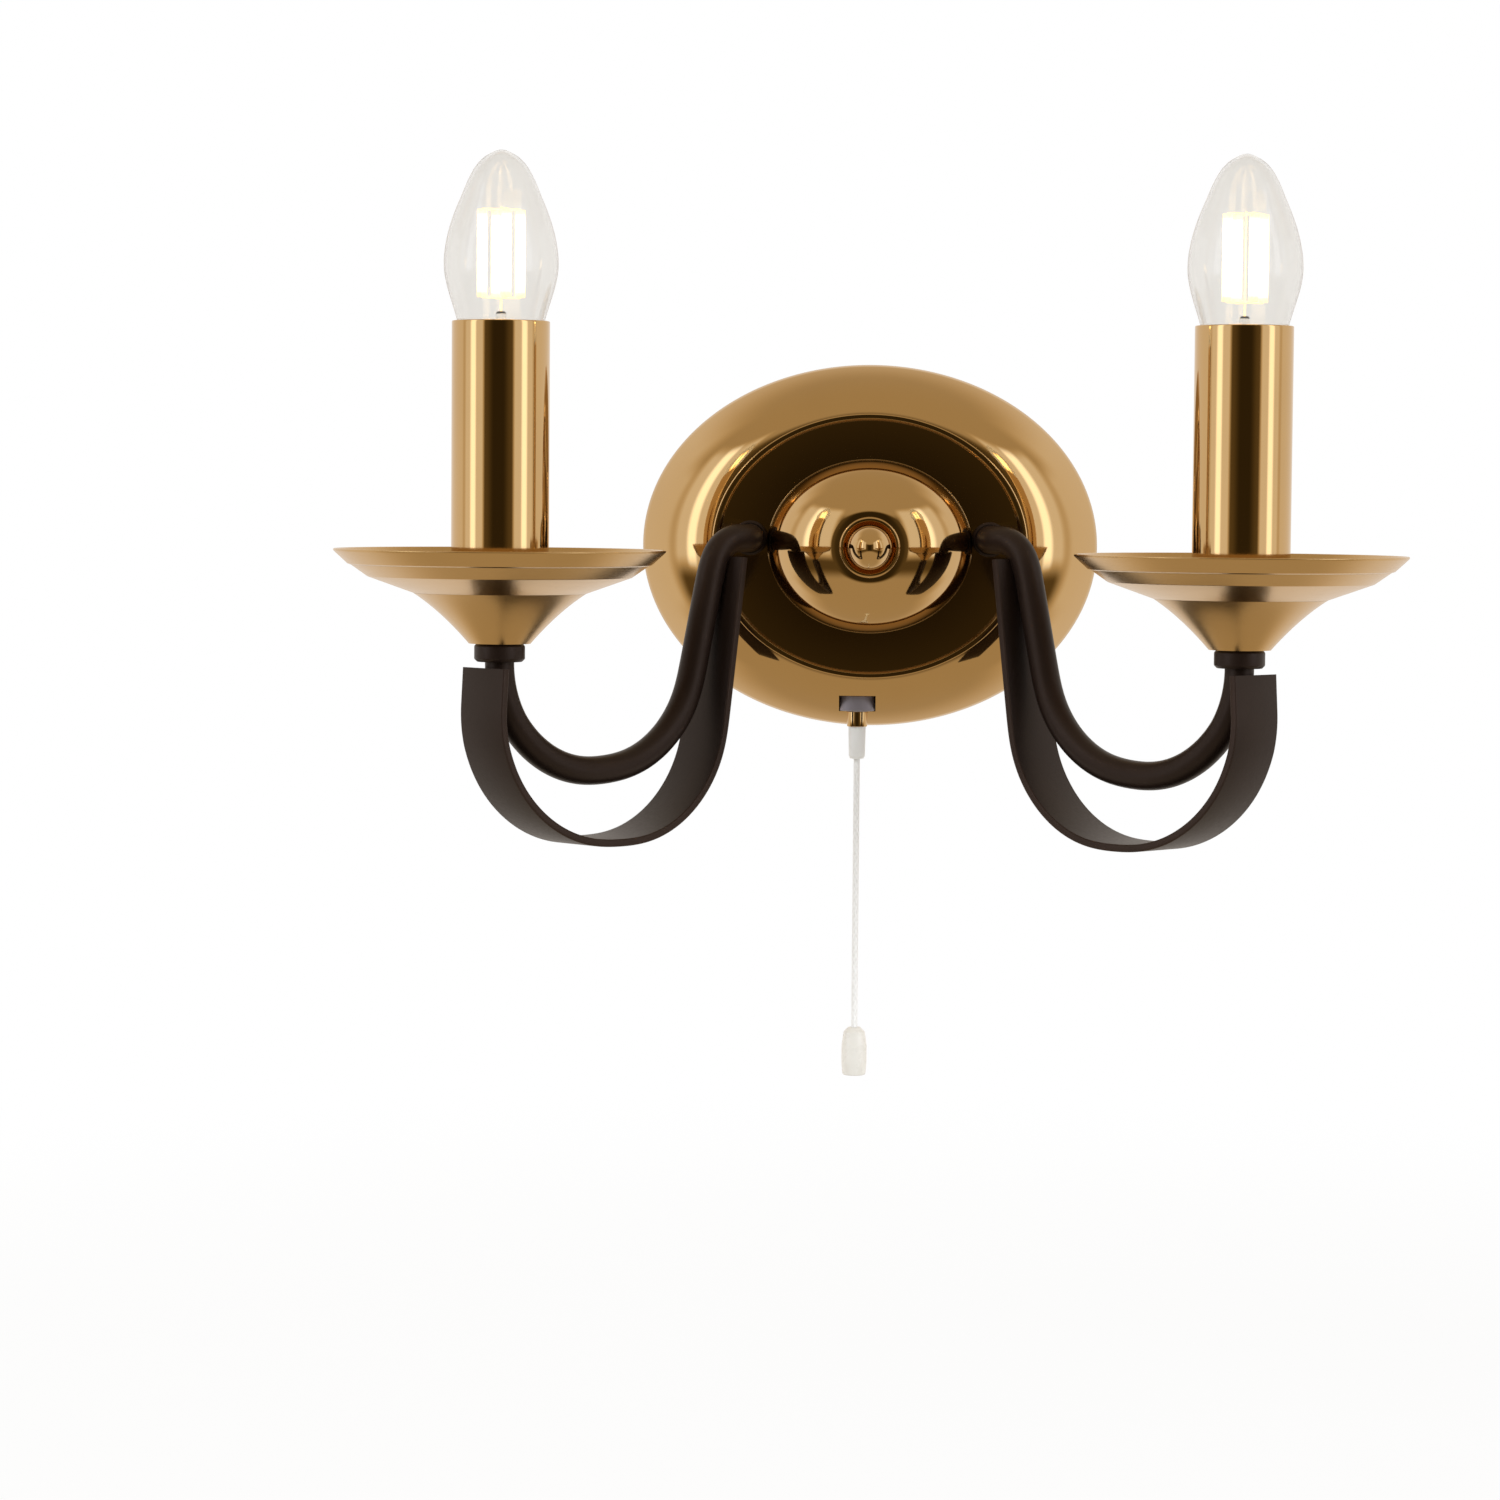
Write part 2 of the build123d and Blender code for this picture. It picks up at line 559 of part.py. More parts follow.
def make_bulbs():
    keep_pair("bulb_glass", at_cup(glass_form(0) - glass_form(GLASS_WALL)))

    cap_r, wall = CAP_D / 2, 0.4
    flare_r = CAP_FLARE_D / 2
    cap = turned_points(
        [(cap_r - 2.4, CAP_FOOT_Z), (cap_r, CAP_FOOT_Z + 1.6), (cap_r, CAP_TOP_Z - CAP_FLARE_H),
         (flare_r, CAP_TOP_Z - CAP_FLARE_H / 2), (flare_r, CAP_TOP_Z), (flare_r - 2 * wall, CAP_TOP_Z),
         (cap_r - wall, CAP_TOP_Z - CAP_FLARE_H), (cap_r - wall, CAP_FOOT_Z + 1.6),
         (cap_r - 2.4 - wall, CAP_FOOT_Z + wall / 2)]
    )
    keep_pair("bulb_cap", at_cup(cap))
    insulator = turned_points(
        [(0, CONTACT_Z + 0.6), (2.2, CONTACT_Z + 0.6), (cap_r - 2.8, CAP_FOOT_Z),
         (cap_r - 2.8, CAP_FOOT_Z + 2), (0, CAP_FOOT_Z + 2)]
    )
    keep_pair("bulb_contact", at_cup(insulator + rod(4.0, CONTACT_Z, CONTACT_Z + 0.6)))

    rod_r, foot_r = 1.6, BULB_NECK_D / 2 - GLASS_WALL - 1.2
    stem = turned_points(
        [(0, CAP_TOP_Z), (foot_r, CAP_TOP_Z), (foot_r - 0.6, CAP_TOP_Z + 3), (rod_r, CAP_TOP_Z + 15),
         (rod_r, FILAMENT_LOW_Z - 4), (0, FILAMENT_LOW_Z - 4)]
    )
    keep_pair("bulb_stem", at_cup(stem))

    ring_r, wire_d = FILAMENT_RING_D / 2, 0.5
    spider_low, spider_high = FILAMENT_LOW_Z - wire_d / 2, FILAMENT_HIGH_Z + wire_d / 2
    lamp = rod(wire_d, FILAMENT_LOW_Z - 4, FILAMENT_HIGH_Z + wire_d)
    for turn in range(FILAMENT_COUNT):
        angle = FILAMENT_TURN + 360 / FILAMENT_COUNT * turn
        spoke = Pos(ring_r / 2, 0, 0) * Box(ring_r, wire_d, wire_d)
        stick = Pos(ring_r, 0, 0) * rod(FILAMENT_D, FILAMENT_LOW_Z, FILAMENT_HIGH_Z)
        stick += Pos(0, 0, spider_low) * spoke
        stick += Pos(0, 0, spider_high) * spoke
        lamp += Rot(0, 0, angle) * stick
    keep_pair("bulb_filaments", at_cup(lamp))


# ---------------------------------------------------------------- pull switch and cord
def make_switch():
    foot_z = SWITCH_SHELF_Z + PLATE_SHEET
    head_z = foot_z + SWITCH_HEIGHT
    floor_z, roof_z = foot_z + SWITCH_FLOOR, head_z - SWITCH_WALL
    half, lid = SWITCH_WIDTH / 2, SWITCH_WALL
    cavity_front = SWITCH_AXIS_DEPTH + SWITCH_CAVITY_R
    case = block(SWITCH_X - half, SWITCH_X + half, SWITCH_BACK + lid, SWITCH_FRONT, foot_z, head_z)
    room = half - SWITCH_WALL
    case -= block(SWITCH_X - room, SWITCH_X + room, SWITCH_BACK, SWITCH_AXIS_DEPTH, floor_z, roof_z)
    case -= block(SWITCH_X - SWITCH_CAVITY_R, SWITCH_X + SWITCH_CAVITY_R, SWITCH_BACK, cavity_front,
                  floor_z, roof_z)
    case += on_switch(rod(NECK_D, NECK_END_Z, foot_z + 0.5))
    case -= on_switch(rod(NECK_BORE, NECK_END_Z - 1, floor_z))
    case -= on_switch(rod(ROTOR_PIVOT_D + 2 * HOLE_CLEARANCE, roof_z - 1, head_z + 1))
    keep("switch_body", case)
    keep("switch_lid", block(SWITCH_X - half, SWITCH_X + half, SWITCH_BACK, SWITCH_BACK + lid, foot_z, head_z))

    nut_r, nut_low = RING_NUT_D / 2, SWITCH_SHELF_Z - RING_NUT_H
    bore_r = NECK_D / 2
    nut = turned_points(
        [(bore_r, nut_low), (nut_r - NUT_CHAMFER, nut_low), (nut_r, nut_low + NUT_CHAMFER),
         (nut_r, SWITCH_SHELF_Z - NUT_CHAMFER), (nut_r - NUT_CHAMFER, SWITCH_SHELF_Z), (bore_r, SWITCH_SHELF_Z)]
    )
    keep("switch_ring_nut", on_switch(nut))

    outer_r, spigot_r, cord_r = NOZZLE_D / 2, NECK_BORE / 2, NOZZLE_BORE / 2
    nozzle = turned_points(
        [(cord_r, NOZZLE_END_Z), (outer_r - 0.7, NOZZLE_END_Z), (outer_r - 0.3, NOZZLE_END_Z + 1.0),
         (outer_r, NECK_END_Z - 1.5), (outer_r, NECK_END_Z), (spigot_r, NECK_END_Z),
         (spigot_r, SWITCH_SHELF_Z), (cord_r, SWITCH_SHELF_Z)]
    )
    keep("switch_nozzle", on_switch(nozzle))

    head_low = floor_z + PULL_TRAVEL + SPRING_SHUT_H
    boss_low = head_low - PLUNGER_BOSS_H
    plunger = rod(PLUNGER_HEAD_D, head_low, head_low + PLUNGER_HEAD_H) + rod(PLUNGER_BOSS_D, boss_low, head_low)
    keep("switch_plunger", on_switch(plunger))

    wire = SPRING_WIRE_D
    coil_height = head_low - floor_z - wire
    coil = Helix(coil_height / SPRING_TURNS, coil_height, SPRING_MEAN_D / 2)
    section = Plane(origin=coil @ 0, z_dir=coil % 0) * Circle(wire / 2)
    spring = Pos(0, 0, floor_z + wire / 2) * sweep(section, path=coil)
    keep("switch_spring", on_switch(spring))

    rotor_low = head_low + PLUNGER_HEAD_H + 2 * SLIDE_CLEARANCE
    rotor = rod(ROTOR_D, rotor_low, rotor_low + ROTOR_H) + rod(ROTOR_PIVOT_D, rotor_low, head_z - 0.3)
    rotor += Pos(0, 0, rotor_low + ROTOR_H) * Box(PLUNGER_HEAD_D, ROTOR_PIVOT_D, 0.6)
    keep("switch_rotor", on_switch(rotor))

    cord_top, cord_low = boss_low, NOZZLE_END_Z - CORD_VISIBLE
    print("cord: one straight run of", round(cord_top - cord_low, 1), "mm")
    keep("pull_cord", on_switch(rod(CORD_D, cord_low, cord_top)))
    make_toggle(cord_low)

    for side, name in ((-1, "live"), (1, "neutral")):
        x = SWITCH_X - SWITCH_WIRES_ASIDE + side * (SWITCH_WIRE_D / 2 + 0.3)
        length = (head_z, TERMINAL_FOOT_Z)
        keep("switch_wire_" + name, Pos(x, -LEAD_DEPTH, 0) * rod(SWITCH_WIRE_D, *length))


def make_toggle(top_z):
    low, r, mouth = top_z - TOGGLE_H, TOGGLE_D / 2, CORD_D / 2
    neck = (mouth + 0.9, top_z)
    shoulder, foot = (r * 0.84, top_z - 1.6), (r * 0.9, low)
    belly = (r, top_z - TOGGLE_H * 0.55)
    flank = ThreePointArc(shoulder, belly, foot)
    base = Polyline(foot, (0, low), (0, top_z), neck, shoulder)
    keep("cord_toggle", on_switch(turned(flank, base)))


# ---------------------------------------------------------------- terminal block
def make_terminals():
    half, high = TERMINAL_WIDTH / 2, TERMINAL_FOOT_Z + TERMINAL_HEIGHT
    front = TERMINAL_BACK + TERMINAL_DEPTH
    body = block(-half, half, TERMINAL_BACK, front, TERMINAL_FOOT_Z, high)
    screws = Part()
    pitch = TERMINAL_WIDTH / TERMINAL_POLES
    screw_d, sink = 3.4, 3.0
    for pole in range(TERMINAL_POLES):
        x = (pole - (TERMINAL_POLES - 1) / 2) * pitch
        for z in (TERMINAL_FOOT_Z + 3.5, high - 3.5):
            body -= facing_out(rod(screw_d + 2 * HOLE_CLEARANCE, front - sink, front + 1), x, z)
            screw = rod(screw_d, front - sink, front - 0.8)
            screw -= Pos(0, 0, front - 0.8) * Box(screw_d + 1, 0.6, 1.2)
            screws += facing_out(screw, x, z)
        body -= Pos(x, -(TERMINAL_BACK + 6.0), 0) * rod(3.2, high - 5.0, high + 1)
    keep("terminal_block", body)
    keep("terminal_screws", screws)


# ---------------------------------------------------------------- the whole light
make_backplate()
make_wall_fixing()
make_finial()
make_arms()
make_cups()
make_candles()
make_bulbs()
make_switch()
make_terminals()

os.makedirs("parts", exist_ok=True)
for node_name, piece in NODES.items():
    export_step(piece, f"parts/{node_name}.step")
print(len(NODES), "nodes")
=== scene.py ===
"""Looks for a double arm wall sconce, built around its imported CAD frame.

+Y points into the wall, +X is to the right and +Z is up.  The frame is in metres; profiles in
this file are written in millimetres, as (radius, height) or (half width, depth from the wall),
and become metres when their mesh is made.
"""

import json
import math

import bmesh
import bpy
from bpy.props import BoolProperty, FloatProperty, FloatVectorProperty, IntProperty, PointerProperty
from bpy.types import Operator, Panel, PropertyGroup
from mathutils import Matrix, Vector


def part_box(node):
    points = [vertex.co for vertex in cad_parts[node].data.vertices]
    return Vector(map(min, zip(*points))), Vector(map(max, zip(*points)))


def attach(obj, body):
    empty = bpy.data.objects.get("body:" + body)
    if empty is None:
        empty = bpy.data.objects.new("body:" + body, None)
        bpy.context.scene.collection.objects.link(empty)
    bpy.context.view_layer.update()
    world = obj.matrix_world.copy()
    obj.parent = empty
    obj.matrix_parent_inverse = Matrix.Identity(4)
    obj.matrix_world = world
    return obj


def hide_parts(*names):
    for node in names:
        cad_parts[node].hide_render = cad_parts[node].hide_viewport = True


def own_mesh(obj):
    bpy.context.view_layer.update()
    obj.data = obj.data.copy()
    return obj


bl_info = {
    "name": "Double arm wall sconce",
    "version": (1, 0, 0),
    "blender": (4, 5, 0),
    "location": "View3D > Sidebar > Sconce",
    "description": "Makes a brass and dark bronze wall light round its CAD frame",
    "category": "Object",
}

MM = 0.001
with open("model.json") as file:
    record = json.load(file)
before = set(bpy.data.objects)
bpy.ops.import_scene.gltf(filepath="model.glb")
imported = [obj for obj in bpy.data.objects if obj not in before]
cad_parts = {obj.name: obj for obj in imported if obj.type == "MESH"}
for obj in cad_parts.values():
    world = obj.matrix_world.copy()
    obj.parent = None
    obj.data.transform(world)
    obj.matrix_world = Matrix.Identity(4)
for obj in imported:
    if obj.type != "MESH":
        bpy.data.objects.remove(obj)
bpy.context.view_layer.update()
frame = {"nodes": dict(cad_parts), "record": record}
SIDES = (("left", -1), ("right", 1))


def axis_of(node):
    """Middle of a CAD node's box, in millimetres."""
    low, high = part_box(node)
    return (low + high) / 2 / MM


def levels(node):
    """Lowest and highest level of a CAD node, in millimetres."""
    return [corner.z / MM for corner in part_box(node)]


# ---------------------------------------- sizes from the frame
CUP = axis_of("drip_pan_right")
SWITCH = axis_of("switch_nozzle")
ON_SWITCH = (SWITCH.x, SWITCH.y, 0)
PLATE_LOW, PLATE_HIGH = (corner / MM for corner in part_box("backplate"))
PLATE_HALF_W = (PLATE_HIGH.x - PLATE_LOW.x) / 2
PLATE_HALF_H = (PLATE_HIGH.z - PLATE_LOW.z) / 2
CORD_END, CORD_TOP = levels("pull_cord")

# oval plate: half widths and half heights of its ovals, and depths of its steps
BEAD_HALF = (51.5, 43.1)
DOME_HALF = (33.0, 28.0)
SEAT_HALF = (11.0, 11.0)
SKIRT_DEPTH = 1.5
BEAD_DEPTH = 22.0
BEAD_CREST = 22.8
BEAD_BREADTH = 2.2
FLANGE_LEAN = 0.228  # share of the flange's fall that its slope at the bead would give by itself
FIELD_DEPTH = 21.3
STEP_DEPTH = 22.3
DOME_DEPTH = 47.7
SHEET = 1.0
FOOT_SHADE_RISE = 7.0  # how far up the dome its foot is darkened with painted shade
FOOT_SHADE_REACH = 1.5  # and how far out over the field
WINDOW_R = 6.0  # the recess that the switch's ring nut shows in
WINDOW_LOW = -54.4
WINDOW_TOP = -49.0
NECK_HOLE_R = 3.4
BUSH_R = NECK_HOLE_R - 0.05
BUSH_BORE_R = 3.0
BUSH_HEIGHT = 5.0
ARM_HOLE_R = 4.7
STUD_HOLE_R = 3.2

# arms: corners in the arm's upright plane, as (along, up) with the bend radius of each
ROOT_X = 39.0
ROOT_Z = 2.5
TUBE_INNER_DEPTH = FIELD_DEPTH - 4.9
TUBE_WALL = 1.0
ROOT_RING_H = 2.5
ROOT_DEPTH = FIELD_DEPTH + 13.9
ARM_REACH = math.hypot(CUP.x - ROOT_X, -CUP.y - ROOT_DEPTH)
TUBE_CORNERS = ((0, ROOT_Z, 9.5), (13.9, ROOT_Z, 10), (26.7, -50, 32), (42.2, -68.5, 38),
                (ARM_REACH - 23.7, -71.5, 39), (ARM_REACH, -50, 33), (ARM_REACH, -32.5, 0))
STRAP_CORNERS = ((10.7, -3.5, 0), (19.6, -66, 38), (35.4, -92.4, 42), (ARM_REACH - 18.9, -92.4, 46),
                 (ARM_REACH + 7.2, -66.5, 40), (ARM_REACH + 5.4, -37, 0))
LINE_STEP = 0.001  # metres between the points of a bent line
STRAP_SOFTENING = 0.22  # radius of the strap's edges, as a share of its thickness

# cups, candles and bulbs
CONE_FOOT, PAN_FLOOR, PAN_RIM = -29.5, -14.1, -0.6
CONE_FOOT_R, CONE_FLARE = 9.5, 17.0
CONE_BELLY = 0.28  # how much faster than evenly the cone rises at its foot
CONE_STEPS = 16
PAN_SHEET = 0.9
SLEEVE_WALL = 0.8
GLASS_WALL = 0.7
GLASS_NECK_R = 7.3
STICK_LENGTH = 26.2
FILAMENT_FOOT, FILAMENT_TOP = 3.75, 0.25  # wire below and above the sticks
MAST_R = 0.25
SPOKE_R = 0.00024  # metres

# mesh and profile making
RUN_SHARE = 0.49  # most of a run that one rounded corner may take
SAME_POINT = 1e-6
HOLLOW_GAIN = 2.5  # turns a profile's curvature into the hollow attribute
COLUMN_SIDES = 64

# ---------------------------------------- what a user may change
TINT = {"subtype": "COLOR", "min": 0, "max": 1}
LENGTH = {"subtype": "DISTANCE", "unit": "LENGTH"}


class SconceBrass(PropertyGroup):
    colour: FloatVectorProperty(name="Brass colour", description="Colour of the polished brass",
                                default=(0.60, 0.40, 0.175), **TINT)
    # Recess colour: patina brown in hollows, and also the colour of painted shade in creases and at
    # the dome's foot
    recess: FloatVectorProperty(name="Recess colour",
                                description="Brown that the lacquer takes in hollows",
                                default=(0.27, 0.165, 0.06), **TINT)
    roughness: FloatProperty(name="Roughness", description="Blur of the brass reflections",
                             default=0.06, min=0, max=1)
    satin: FloatProperty(name="Satin", default=0.16, min=0, max=0.8,
                         description="How much duller the spun cones and pans are than the plate")
    lacquer: FloatProperty(name="Lacquer", default=0.38, min=0, max=1,
                           description="Strength of the clear lacquer over the brass")


class SconceArms(PropertyGroup):
    colour: FloatVectorProperty(name="Bronze colour", description="Colour of the dark bronze arms",
                                default=(0.0088, 0.0055, 0.0044), **TINT)
    rubbed: FloatVectorProperty(name="Rubbed colour",
                                description="Colour where the strap's edges are rubbed",
                                default=(0.040, 0.027, 0.022), **TINT)
    tube_d: FloatProperty(name="Tube diameter", description="Outer diameter of the arm tube",
                          default=0.009, min=0.002, max=0.03, **LENGTH)
    strap_w: FloatProperty(name="Strap width", description="Width of the flat strap",
                           default=0.020, min=0.004, max=0.06, **LENGTH)
    strap_t: FloatProperty(name="Strap thickness", description="Thickness of the flat strap",
                           default=0.0024, min=0.0005, max=0.01, **LENGTH)


class SconceBulbs(PropertyGroup):
    sticks: IntProperty(name="Filaments", description="Glowing sticks in each bulb",
                        default=4, min=1, max=12)
    circle_d: FloatProperty(name="Filament circle",
                            description="Diameter of the circle the sticks stand on",
                            default=0.012, min=0.002, max=0.03, **LENGTH)
    stick_d: FloatProperty(name="Filament diameter", description="Diameter of one glowing stick",
                           default=0.0030, min=0.0005, max=0.005, **LENGTH)
    turn: FloatProperty(name="Turn", default=math.radians(20), subtype="ANGLE", unit="ROTATION",
                        description="How far the sticks are turned about the bulb's axis")
    glow: FloatVectorProperty(name="Glow colour", description="Colour of the lit filaments",
                              default=(1.0, 0.80, 0.50), **TINT)
    strength: FloatProperty(name="Glow strength", description="Brightness of the lit filaments",
                            default=5.0, min=0, max=100)


class SconcePull(PropertyGroup):
    cord_d: FloatProperty(name="Cord diameter", description="Diameter of the pull cord",
                          default=0.002, min=0.0005, max=0.01, **LENGTH)
    colour: FloatVectorProperty(name="Cord colour", description="Colour of the pull cord",
                                default=(0.93, 0.94, 0.95), **TINT)
    toggle: FloatVectorProperty(name="Toggle colour",
                                description="Colour of the pull at the cord's end",
                                default=(0.82, 0.81, 0.77), **TINT)


class SconceStage(PropertyGroup):
    lens: FloatProperty(name="Focal length", description="Lens for a 36 mm sensor",
                        default=101.95, min=10, max=500, subtype="DISTANCE_CAMERA")
    distance: FloatProperty(name="Camera distance", description="From the lens to the wall",
                            default=1.408, min=0.1, max=10, **LENGTH)
    height: FloatProperty(name="Camera height",
                          description="Height of the lens over the plate's middle",
                          default=0.019, min=-2, max=2, **LENGTH)
    fill: FloatProperty(name="Fill", description="Even light from all sides on matt surfaces",
                        default=1.0, min=0, max=5)
    key: FloatProperty(name="Key lamp", default=29.0, min=0, max=500,
                       description="Power of the large lamp up on the left, in watts")
    floor: BoolProperty(name="Floor", description="Lay a pale floor under the light", default=True)


# ---------------------------------------- profiles
def bend_corner(before, corner, after, radius, steps):
    """Points of the arc that rounds one corner of a flat line."""
    corner = Vector(corner)
    back, ahead = Vector(before) - corner, Vector(after) - corner
    turn = math.pi - back.angle(ahead)
    reach = min(radius * math.tan(turn / 2), back.length * RUN_SHARE, ahead.length * RUN_SHARE)
    back.normalize()
    ahead.normalize()
    radius = reach / math.tan(turn / 2)
    centre = corner + (back + ahead).normalized() * math.hypot(radius, reach)
    start, end = corner + back * reach, corner + ahead * reach
    first = start - centre
    side = math.copysign(1, first.x * (end - centre).y - first.y * (end - centre).x)
    arc = []
    for step in range(steps + 1):
        angle = side * turn * step / steps
        cos, sin = math.cos(angle), math.sin(angle)
        arc.append((centre.x + first.x * cos - first.y * sin,
                    centre.y + first.x * sin + first.y * cos))
    return arc


def rounded(points, steps=4, closed=True):
    """Line through (x, y) or (x, y, radius) points, with each corner rounded by its radius."""
    line = []
    count = len(points)
    for place, point in enumerate(points):
        end = not closed and place in (0, count - 1)
        if len(point) > 2 and not end:
            before, after = points[place - 1][:2], points[(place + 1) % count][:2]
            line += bend_corner(before, point[:2], after, point[2], steps)
        else:
            line.append(tuple(point[:2]))
    return line


def flange_line(edge, crown, steps):
    """Points of the plate's rim from its edge in to its crown, where it still leans outwards."""
    line = []
    for step in range(steps + 1):
        out = 1 - step / steps
        fall = FLANGE_LEAN * out + (1 - FLANGE_LEAN) * out ** 2
        line.append((crown[0] + (edge[0] - crown[0]) * out, crown[1] - (crown[1] - edge[1]) * fall))
    return line


def dome_line(foot, crown, steps):
    """Points of an ellipse that leaves foot upright and stops at crown, where it still slopes."""
    end = math.acos(crown[0] / foot[0])
    rise = (crown[1] - foot[1]) / math.sin(end)
    angles = [end * step / steps for step in range(steps + 1)]
    return [(foot[0] * math.cos(angle), foot[1] + rise * math.sin(angle)) for angle in angles]


def through(knots, start, end, spacing):
    """Smooth line through the knots, with these end slopes and points about spacing apart."""
    knots = [Vector(point) for point in knots]
    chord = [(b - a).length for a, b in zip(knots, knots[1:])]
    slopes = [Vector(start)]
    for i in range(1, len(knots) - 1):
        before = (knots[i] - knots[i - 1]) / chord[i - 1]
        after = (knots[i + 1] - knots[i]) / chord[i]
        slopes.append((before * chord[i] + after * chord[i - 1]) / (chord[i - 1] + chord[i]))
    slopes.append(Vector(end))
    line = []
    for i, length in enumerate(chord):
        steps = max(3, round(length / spacing))
        for step in range(steps):
            t = step / steps
            line.append((2 * t ** 3 - 3 * t ** 2 + 1) * knots[i]
                        + (t ** 3 - 2 * t ** 2 + t) * length * slopes[i]
                        + (3 * t ** 2 - 2 * t ** 3) * knots[i + 1]
                        + (t ** 3 - t ** 2) * length * slopes[i + 1])
    return [tuple(point) for point in (*line, knots[-1])]


def winding(profile):
    """Twice the area of a closed profile, above 0 where it runs anticlockwise."""
    return sum(a[0] * b[1] - b[0] * a[1] for a, b in zip((profile[-1], *profile), profile))


def anticlockwise(profile):
    """The closed profile, turned round if it runs clockwise."""
    return profile if winding(profile) > 0 else profile[::-1]


def hollows(profile):
    """For each point of a closed profile, how far it lies in a hollow (1) or on an edge (-1)."""
    count = len(profile)
    side = math.copysign(1, winding(profile))
    values = []
    for place in range(count):
        here = Vector(profile[place])
        back, ahead = here - Vector(profile[place - 1]), Vector(profile[(place + 1) % count]) - here
        if back.length < SAME_POINT or ahead.length < SAME_POINT:
            values.append(0.0)
            continue
        turn = side * math.atan2(back.x * ahead.y - back.y * ahead.x, back.dot(ahead))
        values.append(max(-1.0, min(1.0, -HOLLOW_GAIN * turn / (back.length + ahead.length))))
    return values


def ellipse(wide, high, count):
    """Points of an ellipse about the origin."""
    angles = [math.tau * step / count for step in range(count)]
    return [(wide * math.cos(angle), high * math.sin(angle)) for angle in angles]


# ---------------------------------------- meshes
def put(name, data):
    """New object with this data, in the scene."""
    made = bpy.data.objects.new(name, data)
    bpy.context.scene.collection.objects.link(made)
    return made


def new_piece(name, vertices, faces):
    """Mesh object from millimetre points."""
    mesh = bpy.data.meshes.new(name)
    mesh.from_pydata([Vector(v) * MM for v in vertices], [], faces)
    mesh.shade_smooth()
    return put(name, mesh)


def mark(mesh, name, values):
    """Store one number for each point of a mesh under this name."""
    mesh.attributes.new(name, "FLOAT", "POINT").data.foreach_set("value", values)


def smooth(piece, sharp_deg=30):
    """Shade a piece smooth, apart from edges that turn by more than sharp_deg, if that is given."""
    piece.data.shade_smooth()
    if sharp_deg:
        piece.data.set_sharp_from_angle(angle=math.radians(sharp_deg))
    return piece


def rings(name, loops, shades, sharp_deg=None):
    """Closed skin over a closed row of equal rings; shades become its hollow attribute."""
    count, around = len(loops), len(loops[0])
    faces = []
    for i in range(count):
        low, high = i * around, (i + 1) % count * around
        for j in range(around):
            k = (j + 1) % around
            faces.append((low + j, low + k, high + k, high + j))
    piece = new_piece(name, [point for loop in loops for point in loop], faces)
    mark(piece.data, "hollow", [shade for shade in shades for _ in range(around)])
    work = bmesh.new()
    work.from_mesh(piece.data)
    bmesh.ops.remove_doubles(work, verts=work.verts, dist=1e-7)
    bmesh.ops.dissolve_degenerate(work, edges=work.edges, dist=1e-8)
    work.to_mesh(piece.data)
    work.free()
    return smooth(piece, sharp_deg)


def turned(name, profile, place, around=128, out_of_wall=False, sharp_deg=35):
    """Piece turned from a closed (radius, height) profile; out_of_wall lays its axis along -Y."""
    profile = anticlockwise(profile)
    left, deep, up = place
    loops = []
    for radius, height in profile:
        circle = ellipse(radius, radius, around)
        loops.append([(left + x, deep - height, up + y) if out_of_wall
                      else (left + x, deep + y, up + height) for x, y in circle])
    return rings(name, loops, hollows(profile), sharp_deg)


def made_plain(piece):
    """The piece with its modifiers carried out, as one plain mesh at the origin."""
    bpy.context.view_layer.update()
    graph = bpy.context.evaluated_depsgraph_get()
    mesh = bpy.data.meshes.new_from_object(piece.evaluated_get(graph), depsgraph=graph)
    name, old = piece.name, piece.data
    bpy.data.objects.remove(piece)
    bpy.data.meshes.remove(old)
    mesh.name = name
    return put(name, mesh)


def cut(piece, tool):
    """Cut the second closed body from the first, and use it up."""
    change = piece.modifiers.new(tool.name, "BOOLEAN")
    change.operation, change.solver, change.object = "DIFFERENCE", "EXACT", tool
    piece = made_plain(piece)
    bpy.data.objects.remove(tool)
    return piece


def joined(first, second):
    """The first piece with the second one's mesh added to its own."""
    work = bmesh.new()
    work.from_mesh(first.data)
    work.from_mesh(second.data)
    work.to_mesh(first.data)
    work.free()
    bpy.data.objects.remove(second)
    return first


def paint(piece, look):
    """Give a piece one finish, in place of any that it has."""
    piece.data.materials.clear()
    piece.data.materials.append(finish_of(look))


def dress(piece, slot, *nodes, body="root", look=None):
    """Give a piece its finish and its body, and hide the CAD nodes that it stands for."""
    paint(piece, look or slot)
    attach(piece, body)
    if nodes:
        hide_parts(*nodes)
    return piece


def spin(name, profile, place, around, slot, *nodes, body="root", look=None, **more):
    """Turn a profile into a piece and dress it."""
    piece = turned(name, profile, place, around, **more)
    return dress(piece, slot, *nodes, body=body, look=look)


# ---------------------------------------- nodes
def make_node(tree, kind, settings, sockets):
    """A new node in a tree, with its settings and then its sockets as values or links."""
    made = tree.nodes.new(kind)
    for name, value in (settings or {}).items():
        setattr(made, name, value)
    for name, value in (sockets or {}).items():
        value = value.socket if isinstance(value, Wire) else value
        if isinstance(value, bpy.types.NodeSocket):
            tree.links.new(value, made.inputs[name])
        else:
            made.inputs[name].default_value = value
    return made


